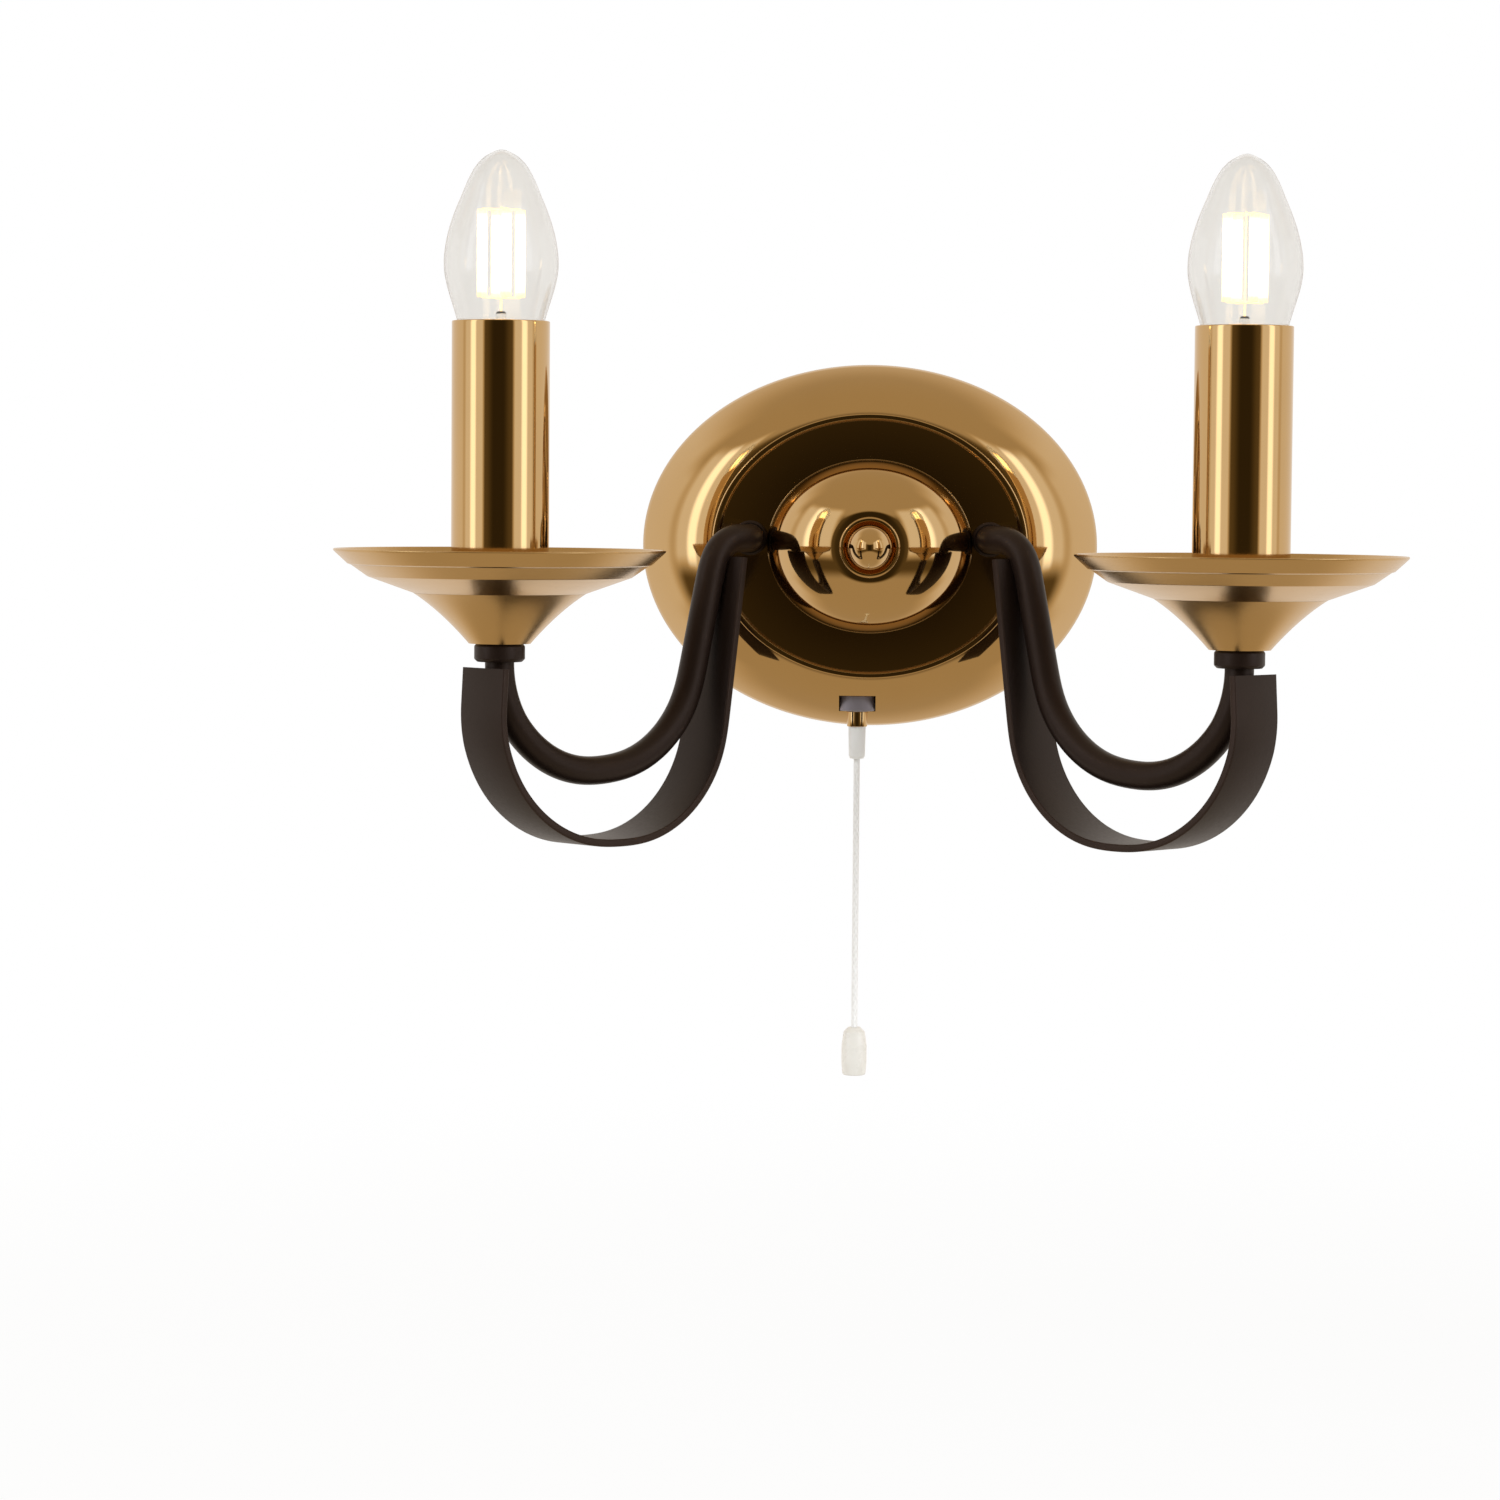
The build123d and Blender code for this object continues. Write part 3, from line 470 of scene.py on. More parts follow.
class Wire:
    """Output of a shader node that Python's arithmetic carries on with Math nodes."""

    def __init__(self, finish, socket):
        self.finish, self.socket = finish, socket

    def math(self, operation, *others):
        return self.finish.node("Math", {"operation": operation}, dict(enumerate((self, *others))))

    def __add__(self, other): return self.math("ADD", other)
    def __sub__(self, other): return self.math("SUBTRACT", other)
    def __mul__(self, other): return self.math("MULTIPLY", other)
    def __abs__(self): return self.math("ABSOLUTE")
    def most(self, other): return self.math("MAXIMUM", other)
    def least(self, other): return self.math("MINIMUM", other)

    def __rsub__(self, other):
        return self.finish.node("Math", {"operation": "SUBTRACT"}, {0: other, 1: self})

    def between(self, low, high, at_low=0.0, at_high=1.0):
        """Smooth passage from at_low, where this is low, to at_high, where it is high."""
        return self.finish.node("MapRange", {"interpolation_type": "SMOOTHSTEP", "clamp": True},
                                {"Value": self, "From Min": low, "From Max": high,
                                 "To Min": at_low, "To Max": at_high})


class Finish:
    """One material or world, whose nodes are made by a single method."""

    def __init__(self, name, tree=None):
        if tree is None:
            self.material = bpy.data.materials.new(FINISH_PREFIX + name)
            self.material.use_nodes = True
            tree = self.material.node_tree
        self.tree = tree
        tree.nodes.clear()

    def node(self, kind, settings=None, sockets=None, take=0):
        """A new shader node's output take, or the node itself if it has no outputs."""
        made = make_node(self.tree, "ShaderNode" + kind, settings, sockets)
        return Wire(self, made.outputs[take]) if made.outputs else made

    def point(self, place=(0, 0, 0), scale=(1, 1, 1)):
        """Object coordinates in metres, measured from place."""
        point = self.node("TexCoord", take="Object")
        shift = [-p * s for p, s in zip(place, scale)]
        return self.node("Mapping", None, {"Vector": point, "Location": shift, "Scale": scale})

    def attribute(self, name):
        return self.node("Attribute", {"attribute_name": name}, take="Fac")

    def noise(self, scale, detail, roughness=0.5, point=None):
        """Cloudy values about 0.5, at this many to the metre."""
        sockets = {"Vector": point or self.point(), "Scale": scale, "Detail": detail,
                   "Roughness": roughness}
        return self.node("TexNoise", {"noise_dimensions": "3D"}, sockets)

    def split(self, vector):
        """The three parts of a vector."""
        parts = self.node("SeparateXYZ", None, {"Vector": vector}).socket.node.outputs
        return [Wire(self, part) for part in parts]

    def colours(self, factor, first, second):
        sockets = {0: factor, 6: rgba(first), 7: rgba(second)}
        return self.node("Mix", {"data_type": "RGBA", "clamp_factor": True}, sockets, take=2)

    def bump(self, height, strength, depth):
        return self.node("Bump", None, {"Height": height, "Strength": strength, "Distance": depth})

    def surface(self, **sockets):
        """Finish the material with one Principled surface."""
        named = {name.replace("_", " "): rgba(value) if name.endswith("_Color") else value
                 for name, value in sockets.items()}
        shader = self.node("BsdfPrincipled", None, named)
        self.node("OutputMaterial", None, {"Surface": shader})
        return self.material


def rgba(colour):
    """Colour with its alpha, or the link it already is."""
    return colour if isinstance(colour, Wire) else (*colour[:3], 1.0)


def times(colour, *factors):
    """Colour made darker or warmer by one factor, or by one for each channel."""
    factors = factors * 3 if len(factors) == 1 else factors
    return [channel * factor for channel, factor in zip(colour, factors)]


def held(wire):
    """The value, kept from 0 to 1."""
    return wire.most(0.0).least(1.0)


# ---------------------------------------- finishes
FINISH_PREFIX = "sconce_"  # sets these materials apart from the frame's plain ones
BRAID_PITCH = 0.0026  # metres along the cord for one turn of a strand
BRAID_STRANDS = 4.0


def brass_finish(name, brass, satin=0.0):
    """Antique brass under clear lacquer, duller in hollows and browner there, partly as patina and
    partly as painted shade; satin adds lathe marks.
    """
    finish = Finish(name)
    cloud = finish.noise(scale=38.0, detail=3.0)
    haze = finish.noise(scale=420.0, detail=4.0, roughness=0.6)
    marks = finish.noise(scale=2600.0, detail=2.0, point=finish.point(scale=(0.02, 0.02, 1)))
    hollow = finish.attribute("hollow").most(0.0)
    # Browner in hollows and at the dome's foot, as patina and as painted shade, with a cloudy
    # random tone
    patina_and_painted_shade = held(hollow * 0.8 + (cloud - 0.5) * 0.22)
    dulled = haze * 0.04 + (brass.roughness + satin - 0.02) + hollow * 0.10 + marks * (0.3 * satin)
    height = haze * 0.6 + marks * (0.4 + 2.0 * satin)
    return finish.surface(
        Base_Color=finish.colours(patina_and_painted_shade, brass.colour, brass.recess),
        Metallic=1.0,
        Roughness=dulled,
        Coat_Weight=brass.lacquer * (1.0 - satin),
        Coat_Roughness=0.03 + satin,
        Normal=finish.bump(height, strength=0.012, depth=0.0001),
    )


def bronze_finish(name, arms):
    """Satin lacquered dark bronze with a slight orange peel and rubbed edges."""
    finish = Finish(name)
    patches = finish.noise(scale=55.0, detail=4.0, roughness=0.6)
    grain = finish.noise(scale=900.0, detail=3.0, roughness=0.6)
    peel = finish.noise(scale=1500.0, detail=1.0)
    rubbed = held(finish.attribute("rub") * (patches * 1.5 - 0.1))
    warm = finish.colours(patches, arms.colour, times(arms.colour, 1.7, 1.55, 1.4))
    return finish.surface(
        Base_Color=finish.colours(rubbed, warm, arms.rubbed),
        Metallic=rubbed * 0.6,
        Roughness=grain * 0.14 + 0.34,
        Specular_IOR_Level=0.27,
        Specular_Tint=(1.0, 0.80, 0.70, 1.0),
        Normal=finish.bump(peel * 0.7 + grain * 0.3, strength=0.10, depth=0.00025),
    )


def plated_finish(name, colour, roughness, bright=1.0):
    """Plated metal with faint turning marks and a little haze; bright is less for dull plating."""
    finish = Finish(name)
    marks = finish.noise(scale=700.0, detail=3.0, roughness=0.6,
                         point=finish.point(scale=(1, 1, 6)))
    cloud = finish.noise(scale=120.0, detail=3.0)
    return finish.surface(
        Base_Color=finish.colours(cloud, times(colour, 0.72), colour),
        Metallic=bright,
        Roughness=marks * 0.16 + (roughness - 0.06) + cloud * 0.06,
        Normal=finish.bump(marks, strength=0.06, depth=0.0001),
    )


def moulded_finish(name, colour, roughness, scale=600.0, **more):
    """Moulded plastic: a faint skin texture and slight unevenness of colour."""
    finish = Finish(name)
    skin = finish.noise(scale=scale, detail=3.0, roughness=0.6)
    cloud = finish.noise(scale=60.0, detail=2.0)
    return finish.surface(
        Base_Color=finish.colours(cloud, times(colour, 0.93), colour),
        Roughness=skin * 0.10 + (roughness - 0.05),
        Normal=finish.bump(skin, strength=0.05, depth=0.0001),
        **more,
    )


def cord_finish(name, pull):
    """Fine white braid: two sets of strands that cross round the cord."""
    finish = Finish(name)
    x, y, z = finish.split(finish.point(place=(SWITCH.x * MM, SWITCH.y * MM, 0)))
    around = y.math("ARCTAN2", x) * BRAID_STRANDS
    along = z * (math.tau / BRAID_PITCH)
    strands = (around + along).math("SINE") * 0.5 + 0.5
    crossing = (around - along).math("SINE") * 0.5 + 0.5
    braid = strands.most(crossing)
    shade = (braid * 0.75 + finish.noise(scale=4200.0, detail=2.0) * 0.25).least(1.0)
    return finish.surface(
        Base_Color=finish.colours(shade, times(pull.colour, 0.90), pull.colour),
        Roughness=0.85 - braid * 0.12,
        Sheen_Weight=0.3,
        Sheen_Roughness=0.4,
        Normal=finish.bump(shade, strength=0.6, depth=0.00022),
    )


def glass_finish(name):
    """Clear blown glass, faintly uneven."""
    finish = Finish(name)
    wave = finish.noise(scale=45.0, detail=1.0)
    return finish.surface(
        Base_Color=(0.905, 0.892, 0.868),
        Roughness=0.07,
        IOR=1.47,
        Transmission_Weight=1.0,
        Normal=finish.bump(wave, strength=0.04, depth=0.0006),
    )


def filament_finish(name, bulbs):
    """Lit filament: bright along its length, a little yellower at its ends and turns."""
    finish = Finish(name)
    coil = finish.noise(scale=1600.0, detail=1.0)
    amber = times(bulbs.glow, 0.46, 0.36, 0.17)
    ends = held(finish.attribute("tip") * 0.9 + (coil - 0.5) * 0.2)
    return finish.surface(
        Base_Color=(0.85, 0.62, 0.32),
        Roughness=0.6,
        Emission_Color=finish.colours(ends, bulbs.glow, amber),
        Emission_Strength=bulbs.strength,
    )


FINISHES = {
    "polished_brass": lambda name, scene: brass_finish(name, scene.sconce_brass),
    "spun_brass": lambda name, scene: brass_finish(name, scene.sconce_brass,
                                                   scene.sconce_brass.satin),
    "bronze_black": lambda name, scene: bronze_finish(name, scene.sconce_arms),
    "nickel": lambda name, scene: plated_finish(name, (0.46, 0.46, 0.52), 0.30),
    "dull_nickel": lambda name, scene: plated_finish(name, (0.36, 0.34, 0.40), 0.46, bright=0.55),
    "zinc_steel": lambda name, scene: plated_finish(name, (0.58, 0.58, 0.54), 0.34),
    "white_bakelite": lambda name, scene: moulded_finish(name, (0.80, 0.79, 0.75), 0.42),
    "frosted_nozzle": lambda name, scene: moulded_finish(name, (0.95, 0.96, 0.96), 0.30, 900.0,
                                                         Transmission_Weight=0.12, IOR=1.49),
    "white_cord": lambda name, scene: cord_finish(name, scene.sconce_pull),
    "white_toggle": lambda name, scene: moulded_finish(name, scene.sconce_pull.toggle, 0.28, 300.0,
                                                       Coat_Weight=0.25, Coat_Roughness=0.1),
    "lead_sheath": lambda name, scene: moulded_finish(name, (0.72, 0.72, 0.70), 0.5),
    "clear_glass": lambda name, scene: glass_finish(name),
    "lit_filament": lambda name, scene: filament_finish(name, scene.sconce_bulbs),
}


def finish_of(name):
    """The finish of this name, made the first time that it is asked for."""
    return bpy.data.materials.get(FINISH_PREFIX + name) or FINISHES[name](name, bpy.context.scene)


# ---------------------------------------- stage
PHOTO_SIDE = 1500.0
OBJECT_MIDDLE_PX = 868.0  # where the plate's middle line crosses the photograph
HORIZON_PX = 487.0
ROLL = math.radians(0.45)
SENSOR = 36.0
# name, place, size and share of the key's power
LAMPS = (("key_lamp", (-1.0, -1.3, 1.2), 1.1, 1.0), ("fill_lamp", (1.3, -1.1, 0.5), 1.0, 0.45))
LAMP_COLOUR = (0.90, 0.96, 1.0)
LAMP_AIM = Vector((0, -0.06, -0.01))
FLOOR_REACH, FLOOR_LEVEL = 1600, -300  # millimetres

# studio: brightness of each part, and where it starts, is full, fades and ends, in degrees
ROOM, ROOM_EDGE, ROOM_SPREAD = 0.04, 0.13, (10, 30)
SIDE_WALL, SIDE_WALL_FROM = 0.95, (78, 98)
CEILING, CEILING_FROM, GROUND_TO = 0.56, (26, 38), (-38, -22)
SOFT_BOX, BOX_SIDE, BOX_UP = 1.05, (31, 40, 82, 94), (-16, -4, 38, 46)
STRIP, STRIP_SIDE, STRIP_UP = 2.3, (53, 59, 66, 73), (-12, -4, 38, 45)
BACK_FROM, BACK_UP = (90, 112), (34, 62)
WARM_DARK, WARM_LIGHT, COOL_WHITE = (1.0, 0.68, 0.27), (1.0, 0.80, 0.54), (0.94, 0.95, 1.02)


def studio_light(world, fill):
    """World light: a dim room, two soft boxes with bright strips, and white behind the object."""
    finish = Finish("studio", world.node_tree)
    x, y, z = finish.split(finish.node("TexCoord", take="Generated"))
    side = abs(x.math("ARCTAN2", y * -1.0)) * math.degrees(1)  # 0 to the room, 180 into the wall
    up = z.math("ARCSINE") * math.degrees(1)

    def band(value, start, full, fade, end):
        return value.between(start, full) * (1.0 - value.between(fade, end))

    def within(level, other, share):
        return level + (other - level) * share

    low_down = 1.0 - abs(up).between(*BACK_UP)
    level = side.between(*ROOM_SPREAD, ROOM, ROOM_EDGE)
    level = within(level, SIDE_WALL, side.between(*SIDE_WALL_FROM))
    level = within(level, CEILING, up.between(*CEILING_FROM))
    level = within(level, CEILING, 1.0 - up.between(*GROUND_TO))
    level = within(level, SOFT_BOX, band(side, *BOX_SIDE) * band(up, *BOX_UP))
    level = within(level, STRIP, band(side, *STRIP_SIDE) * band(up, *STRIP_UP))
    level = within(level, SIDE_WALL, side.between(*BACK_FROM) * low_down)

    seen, through_glass = (finish.node("LightPath", take=ray)
                           for ray in ("Is Camera Ray", "Is Transmission Ray"))
    white = seen.most(through_glass)
    warm = finish.colours(level.between(0.05, 0.5), WARM_DARK, WARM_LIGHT)
    tint = finish.colours(level.between(0.55, 1.3), warm, COOL_WHITE)
    light = finish.node("Background", None, {
        "Color": finish.colours(white, tint, (1, 1, 1)),
        "Strength": white + (1.0 - white) * level * fill})
    finish.node("OutputWorld", None, {"Surface": light})


def floor_finish():
    """Pale floor that the camera sees as white but for soft shadows, and all white far away."""
    finish = Finish("pale_floor")
    point = finish.point()
    grain = finish.noise(scale=30.0, detail=3.0)
    matt = finish.node("BsdfDiffuse", None, {
        "Color": finish.colours(grain, (0.62, 0.61, 0.59), (0.66, 0.65, 0.63))})
    white = finish.node("Emission", None, {"Color": (1, 1, 1, 1), "Strength": 1.0})
    away = finish.node("VectorMath", {"operation": "LENGTH"}, {0: point}, take="Value")
    shown = finish.node("LightPath", take="Is Camera Ray") * away.between(0.35, 0.9, 0.93, 1.0)
    both = finish.node("MixShader", None, {0: shown, 1: matt, 2: white})
    finish.node("OutputMaterial", None, {"Surface": both})
    return finish.material


class SCONCE_OT_stage(Operator):
    """Set the camera, the studio light and the pale floor"""

    bl_idname = "sconce.stage"
    bl_label = "Stage"

    def execute(self, context):
        scene, stage = context.scene, context.scene.sconce_stage
        lens = bpy.data.cameras.new("camera")
        lens.sensor_width, lens.lens = SENSOR, stage.lens
        camera = put("camera", lens)
        focal_px = stage.lens / SENSOR * PHOTO_SIDE
        yaw = math.atan((OBJECT_MIDDLE_PX - PHOTO_SIDE / 2) / focal_px)
        pitch = math.atan((PHOTO_SIDE / 2 - HORIZON_PX) / focal_px)
        turn = (Matrix.Rotation(yaw, 4, "Z") @ Matrix.Rotation(math.pi / 2 - pitch, 4, "X")
                @ Matrix.Rotation(ROLL, 4, "Z"))
        camera.matrix_world = Matrix.Translation((0, -stage.distance, stage.height)) @ turn
        scene.camera = camera
        scene.view_settings.view_transform = "Standard"

        world = bpy.data.worlds.new("studio")
        world.use_nodes = True
        scene.world = world
        studio_light(world, stage.fill)

        for name, place, size, share in LAMPS:
            lamp = bpy.data.lights.new(name, "AREA")
            lamp.shape, lamp.size, lamp.energy = "SQUARE", size, stage.key * share
            lamp.color = LAMP_COLOUR
            holder = put(name, lamp)
            aim = (LAMP_AIM - Vector(place)).to_track_quat("-Z", "Y").to_matrix().to_4x4()
            holder.matrix_world = Matrix.Translation(place) @ aim
            holder.visible_glossy = holder.visible_transmission = False

        if stage.floor:
            corners = [(x * FLOOR_REACH, y * FLOOR_REACH, FLOOR_LEVEL)
                       for x, y in ((-1, -1), (1, -1), (1, 1), (-1, 1))]
            floor = new_piece("floor", corners, [(0, 1, 2, 3)])
            floor.data.materials.append(floor_finish())
            floor.visible_glossy = False
        return {"FINISHED"}


# ---------------------------------------- pull cord and switch
class SCONCE_OT_pull_cord(Operator):
    """Hang the pull cord with its toggle"""

    bl_idname = "sconce.pull_cord"
    bl_label = "Pull cord"

    def execute(self, context):
        pull = context.scene.sconce_pull
        curve = bpy.data.curves.new("cord", "CURVE")
        curve.dimensions = "3D"
        line = curve.splines.new("NURBS")
        heights = (CORD_TOP, SWITCH.z, -90.0, -125.0, CORD_END)
        line.points.add(len(heights) - 1)
        for point, height in zip(line.points, heights):
            point.co = (SWITCH.x * MM, SWITCH.y * MM, height * MM, 1)
        line.order_u, line.use_endpoint_u = 3, True
        curve.bevel_depth, curve.bevel_resolution = pull.cord_d / 2, 6
        curve.resolution_u, curve.use_fill_caps = 24, True
        cord = dress(put("cord", curve), "white_cord", "pull_cord", body="pull")

        top, foot, r = CORD_END, levels("cord_toggle")[0], 4.15
        mouth = pull.cord_d / 2 / MM + 0.05
        profile = rounded([
            (0, top - 2.0), (mouth, top - 2.0, 0.1), (mouth, top, 0.25), (mouth + 0.95, top, 0.45),
            (r * 0.84, top - 1.5, 1.0), (r, top - 6.0, 8.0), (r, foot + 4.0, 6.0),
            (r - 0.35, foot, 0.5), (1.7, foot, 0.3), (1.5, foot + 1.8, 0.4), (0, foot + 1.8)], 5)
        toggle = spin("toggle", profile, ON_SWITCH, 96, "white_toggle", "cord_toggle", body="pull")
        return {"FINISHED"}


class SCONCE_OT_switch(Operator):
    """Fit the pull switch's ring nut, nozzle and neck bush under the plate"""

    bl_idname = "sconce.switch"
    bl_label = "Pull switch"

    def execute(self, context):
        low, high = levels("switch_ring_nut")
        nut = rounded([(3.2, low), (5.5, low, 0.1), (5.8, low + 0.3, 0.2), (5.8, high - 0.3, 0.2),
                       (5.5, high, 0.1), (3.2, high)])
        spin("ring_nut", nut, ON_SWITCH, 96, "nickel", "switch_ring_nut", look="dull_nickel")

        low, high = levels("switch_nozzle")
        neck = levels("switch_body")[0]
        nozzle = rounded([(1.4, low, 0.3), (2.25, low, 0.3), (2.65, low + 1.0, 0.4),
                          (2.9, neck - 1.6, 0.5), (2.95, neck, 0.2), (2.3, neck, 0.1),
                          (2.3, high), (1.4, high)])
        spin("nozzle", nozzle, ON_SWITCH, 72, "frosted_nozzle", "switch_nozzle")

        foot = WINDOW_LOW - BUSH_HEIGHT
        bush = rounded([(BUSH_BORE_R, foot), (BUSH_R, foot, 0.15), (BUSH_R, WINDOW_LOW, 0.1),
                        (BUSH_BORE_R, WINDOW_LOW)], 3)
        spin("neck_bush", bush, ON_SWITCH, 72, "polished_brass")
        return {"FINISHED"}


# ---------------------------------------- oval backplate
def beside(half):
    """Half height of the oval that has this half width, between the plate's main ovals."""
    steps = ((0, 0), SEAT_HALF, DOME_HALF, BEAD_HALF, (PLATE_HALF_W, PLATE_HALF_H))
    for (w0, h0), (w1, h1) in zip(steps, steps[1:]):
        if half <= w1:
            return h0 + (h1 - h0) * (half - w0) / (w1 - w0)
    return PLATE_HALF_H + (half - PLATE_HALF_W)


def painted_foot_shade(half, depth):
    """How much painted shade darkens the dome's foot, 1 at the field and 0 a little way up."""
    up = (depth - STEP_DEPTH) / FOOT_SHADE_RISE
    return 0.0 if half > DOME_HALF[0] + FOOT_SHADE_REACH or up > 1 else 1 - max(0.0, up)


def oval_solid(name, profile, around=320):
    """Closed oval body from a closed (half width, depth) profile that meets its own axis."""
    profile = anticlockwise(profile)
    loops = [[(x, -depth, z) for x, z in ellipse(half, beside(half), around)]
             for half, depth in profile]
    # hollow values, raised at the dome's foot so that it takes painted shade there
    shades = [max(shade, painted_foot_shade(*point)) for shade, point in zip(hollows(profile), profile)]
    return rings(name, loops, shades)


def plate_profile(inset, start, fine):
    """Half width and depth along the plate's face, from its wall edge in to its axis."""
    w, field, step = PLATE_HALF_W - inset, FIELD_DEPTH - inset, STEP_DEPTH - inset
    bead, dome, crown = BEAD_HALF[0] - inset, DOME_HALF[0] - inset, DOME_DEPTH - inset
    line = [(0, start), (w, start, 0.3)]
    line += flange_line((w, SKIRT_DEPTH - inset), (bead, BEAD_DEPTH - inset), fine)
    if inset:
        line += [(bead - BEAD_BREADTH, BEAD_DEPTH - inset, 0.4), (bead - BEAD_BREADTH, field, 0.4)]
    else:
        line += [(bead - 0.05, BEAD_CREST, 0.5), (bead - 1.2, BEAD_CREST + 0.12, 0.9),
                 (bead - BEAD_BREADTH, BEAD_CREST, 0.6), (bead - 2.5, field, 0.35)]
    line += [(dome + 0.15, field, 0.4), (dome, step)]
    line += dome_line((dome, step), (SEAT_HALF[0], crown), fine)[1:]
    return rounded([*line, (0, crown)], 5, closed=False)


def switch_column(name, radius, low, high, reach=None):
    """Upright round bar on the switch's axis, or a slot that runs straight out to depth reach."""
    sides = COLUMN_SIDES if reach is None else 2 * COLUMN_SIDES
    outline = [(SWITCH.x + x, SWITCH.y + y) for x, y in ellipse(radius, radius, sides)]
    if reach is not None:
        outline = outline[:COLUMN_SIDES + 1]
        outline += [(SWITCH.x - radius, -reach), (SWITCH.x + radius, -reach)]
    count = len(outline)
    vertices = [(*point, level) for level in (low, high) for point in outline]
    faces = [tuple(range(count))[::-1], tuple(range(count, 2 * count))]
    faces += [(i, (i + 1) % count, count + (i + 1) % count, count + i) for i in range(count)]
    return new_piece(name, vertices, faces)


class SCONCE_OT_backplate(Operator):
    """Spin the oval plate with its flange, bead, field and dome"""

    bl_idname = "sconce.backplate"
    bl_label = "Backplate"

    def execute(self, context):
        plate = oval_solid("oval_plate", plate_profile(0, 0.0, 22))
        inside = oval_solid("inside", plate_profile(SHEET, -SHEET, 12), 128)
        front, deep = BEAD_DEPTH + 5, DOME_DEPTH + 5
        inside = cut(inside, switch_column("window_wall", WINDOW_R + SHEET, WINDOW_LOW - SHEET,
                                           WINDOW_TOP + SHEET, front))
        plate = cut(plate, inside)
        for name, radius, low, high, reach in (
                ("window", WINDOW_R, WINDOW_LOW, WINDOW_TOP, front),
                ("neck_hole", NECK_HOLE_R, WINDOW_TOP - 1, WINDOW_TOP + 3, None),
                ("neck_way", NECK_HOLE_R, -PLATE_HALF_H - 1, WINDOW_LOW + 1, None)):
            plate = cut(plate, switch_column(name, radius, low, high, reach))
        for name, x, z, radius in (("left_hole", -ROOT_X, ROOT_Z, ARM_HOLE_R),
                                   ("right_hole", ROOT_X, ROOT_Z, ARM_HOLE_R),
                                   ("stud_hole", 0, 0, STUD_HOLE_R)):
            drill = [(0, 0), (radius, 0), (radius, deep), (0, deep)]
            plate = cut(plate, turned(name, drill, (x, 0, z), 64, True))
        dress(smooth(plate, 38), "polished_brass", "backplate")
        return {"FINISHED"}


class SCONCE_OT_finial(Operator):
    """Turn the finial and the dished washer that it sits on"""

    bl_idname = "sconce.finial"
    bl_label = "Finial"

    def execute(self, context):
        seat = DOME_DEPTH
        base = seat + 1.2
        washer = rounded([
            (3, seat), (9.4, seat, 0.3), (9.8, seat + 0.7, 0.4), (9.6, seat + 2.0, 0.5),
            (8.6, seat + 2.2, 0.5), (6.2, seat + 1.1, 0.8), (4.8, base), (3, base)])
        spin("finial_seat", washer, (0, 0, 0), 128, "polished_brass", "finial_washer",
             out_of_wall=True)
        peak = -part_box("finial")[0].y / MM
        knots = ((4.1, base + 2.2), (6.35, base + 4.5), (7.0, base + 7.2), (6.0, base + 10.4),
                 (3.3, peak - 1.3), (0, peak))
        knob = through(knots, start=(0.3, 0.95), end=(-1, 0), spacing=0.35)
        head = [(3, base), (4.5, base), (4.75, base + 0.3), (4.5, base + 0.8), (4.15, base + 1.6),
                *knob, (0, base + 8), (3, base + 8)]
        spin("finial_knob", head, (0, 0, 0), 128, "polished_brass", "finial",
             out_of_wall=True, sharp_deg=50)
        return {"FINISHED"}


# ---------------------------------------- geometry trees
class Tree:
    """Geometry Nodes tree with named inputs, for pieces that follow a path or repeat."""

    def __init__(self, name, **inputs):
        self.tree = bpy.data.node_groups.new(name, "GeometryNodeTree")
        self.tree.is_modifier = True
        inputs = {"Geometry": "Geometry", **inputs, "Finish": "Material"}
        self.sockets = {label: self.socket(label, kind, "INPUT").identifier
                        for label, kind in inputs.items()}
        self.socket("Geometry", "Geometry", "OUTPUT")
        self.given = self.tree.nodes.new("NodeGroupInput").outputs

    def socket(self, label, kind, way):
        return self.tree.interface.new_socket(label, in_out=way, socket_type="NodeSocket" + kind)

    def node(self, kind, settings=None, sockets=None, take=0):
        """A new node's output take."""
        return make_node(self.tree, kind, settings, sockets).outputs[take]

    def geo(self, kind, settings=None, **sockets):
        """A new geometry node; a _ in a socket's name stands for a space."""
        named = {name.replace("_", " "): value for name, value in sockets.items()}
        return self.node("GeometryNode" + kind, settings, named)

    def math(self, operation, *values):
        return self.node("ShaderNodeMath", {"operation": operation}, dict(enumerate(values)))

    def ramp(self, value, low, high):
        """From 0, where the value is low, to 1, where it is high."""
        sockets = {"Value": value, "From Min": low, "From Max": high}
        return self.node("ShaderNodeMapRange", {"clamp": True}, sockets)

    def place_along(self, axis):
        """Each point's place on one axis."""
        return self.node("ShaderNodeSeparateXYZ", None, {0: self.geo("InputPosition")}, take=axis)

    def vector(self, **parts):
        return self.node("ShaderNodeCombineXYZ", None, parts)

    def store(self, geometry, name, value):
        """The geometry with this number stored for each of its points."""
        return self.geo("StoreNamedAttribute", {"data_type": "FLOAT", "domain": "POINT"},
                        Geometry=geometry, Name=name, Value=value)

    def sweep(self, line, sides, radius, capped=False):
        """Round skin of this radius along a line."""
        circle = self.geo("CurvePrimitiveCircle", Resolution=sides, Radius=radius)
        return self.geo("CurveToMesh", Curve=line, Profile_Curve=circle, Fill_Caps=capped)

    def join(self, *parts):
        """All these geometries together."""
        whole = self.geo("JoinGeometry")
        for part in parts:
            self.tree.links.new(part, whole.node.inputs[0])
        return whole

    def end(self, geometry):
        real = self.geo("RealizeInstances", Geometry=geometry)
        painted = self.geo("SetMaterial", Geometry=real, Material=self.given["Finish"])
        self.tree.links.new(painted, self.tree.nodes.new("NodeGroupOutput").inputs[0])
        return self

    def carry_out(self, piece, **values):
        """Run the tree on a piece with these input values and return the plain result."""
        change = piece.modifiers.new(self.tree.name, "NODES")
        change.node_group = self.tree
        for label, value in values.items():
            change[self.sockets[label]] = value
        return made_plain(piece)


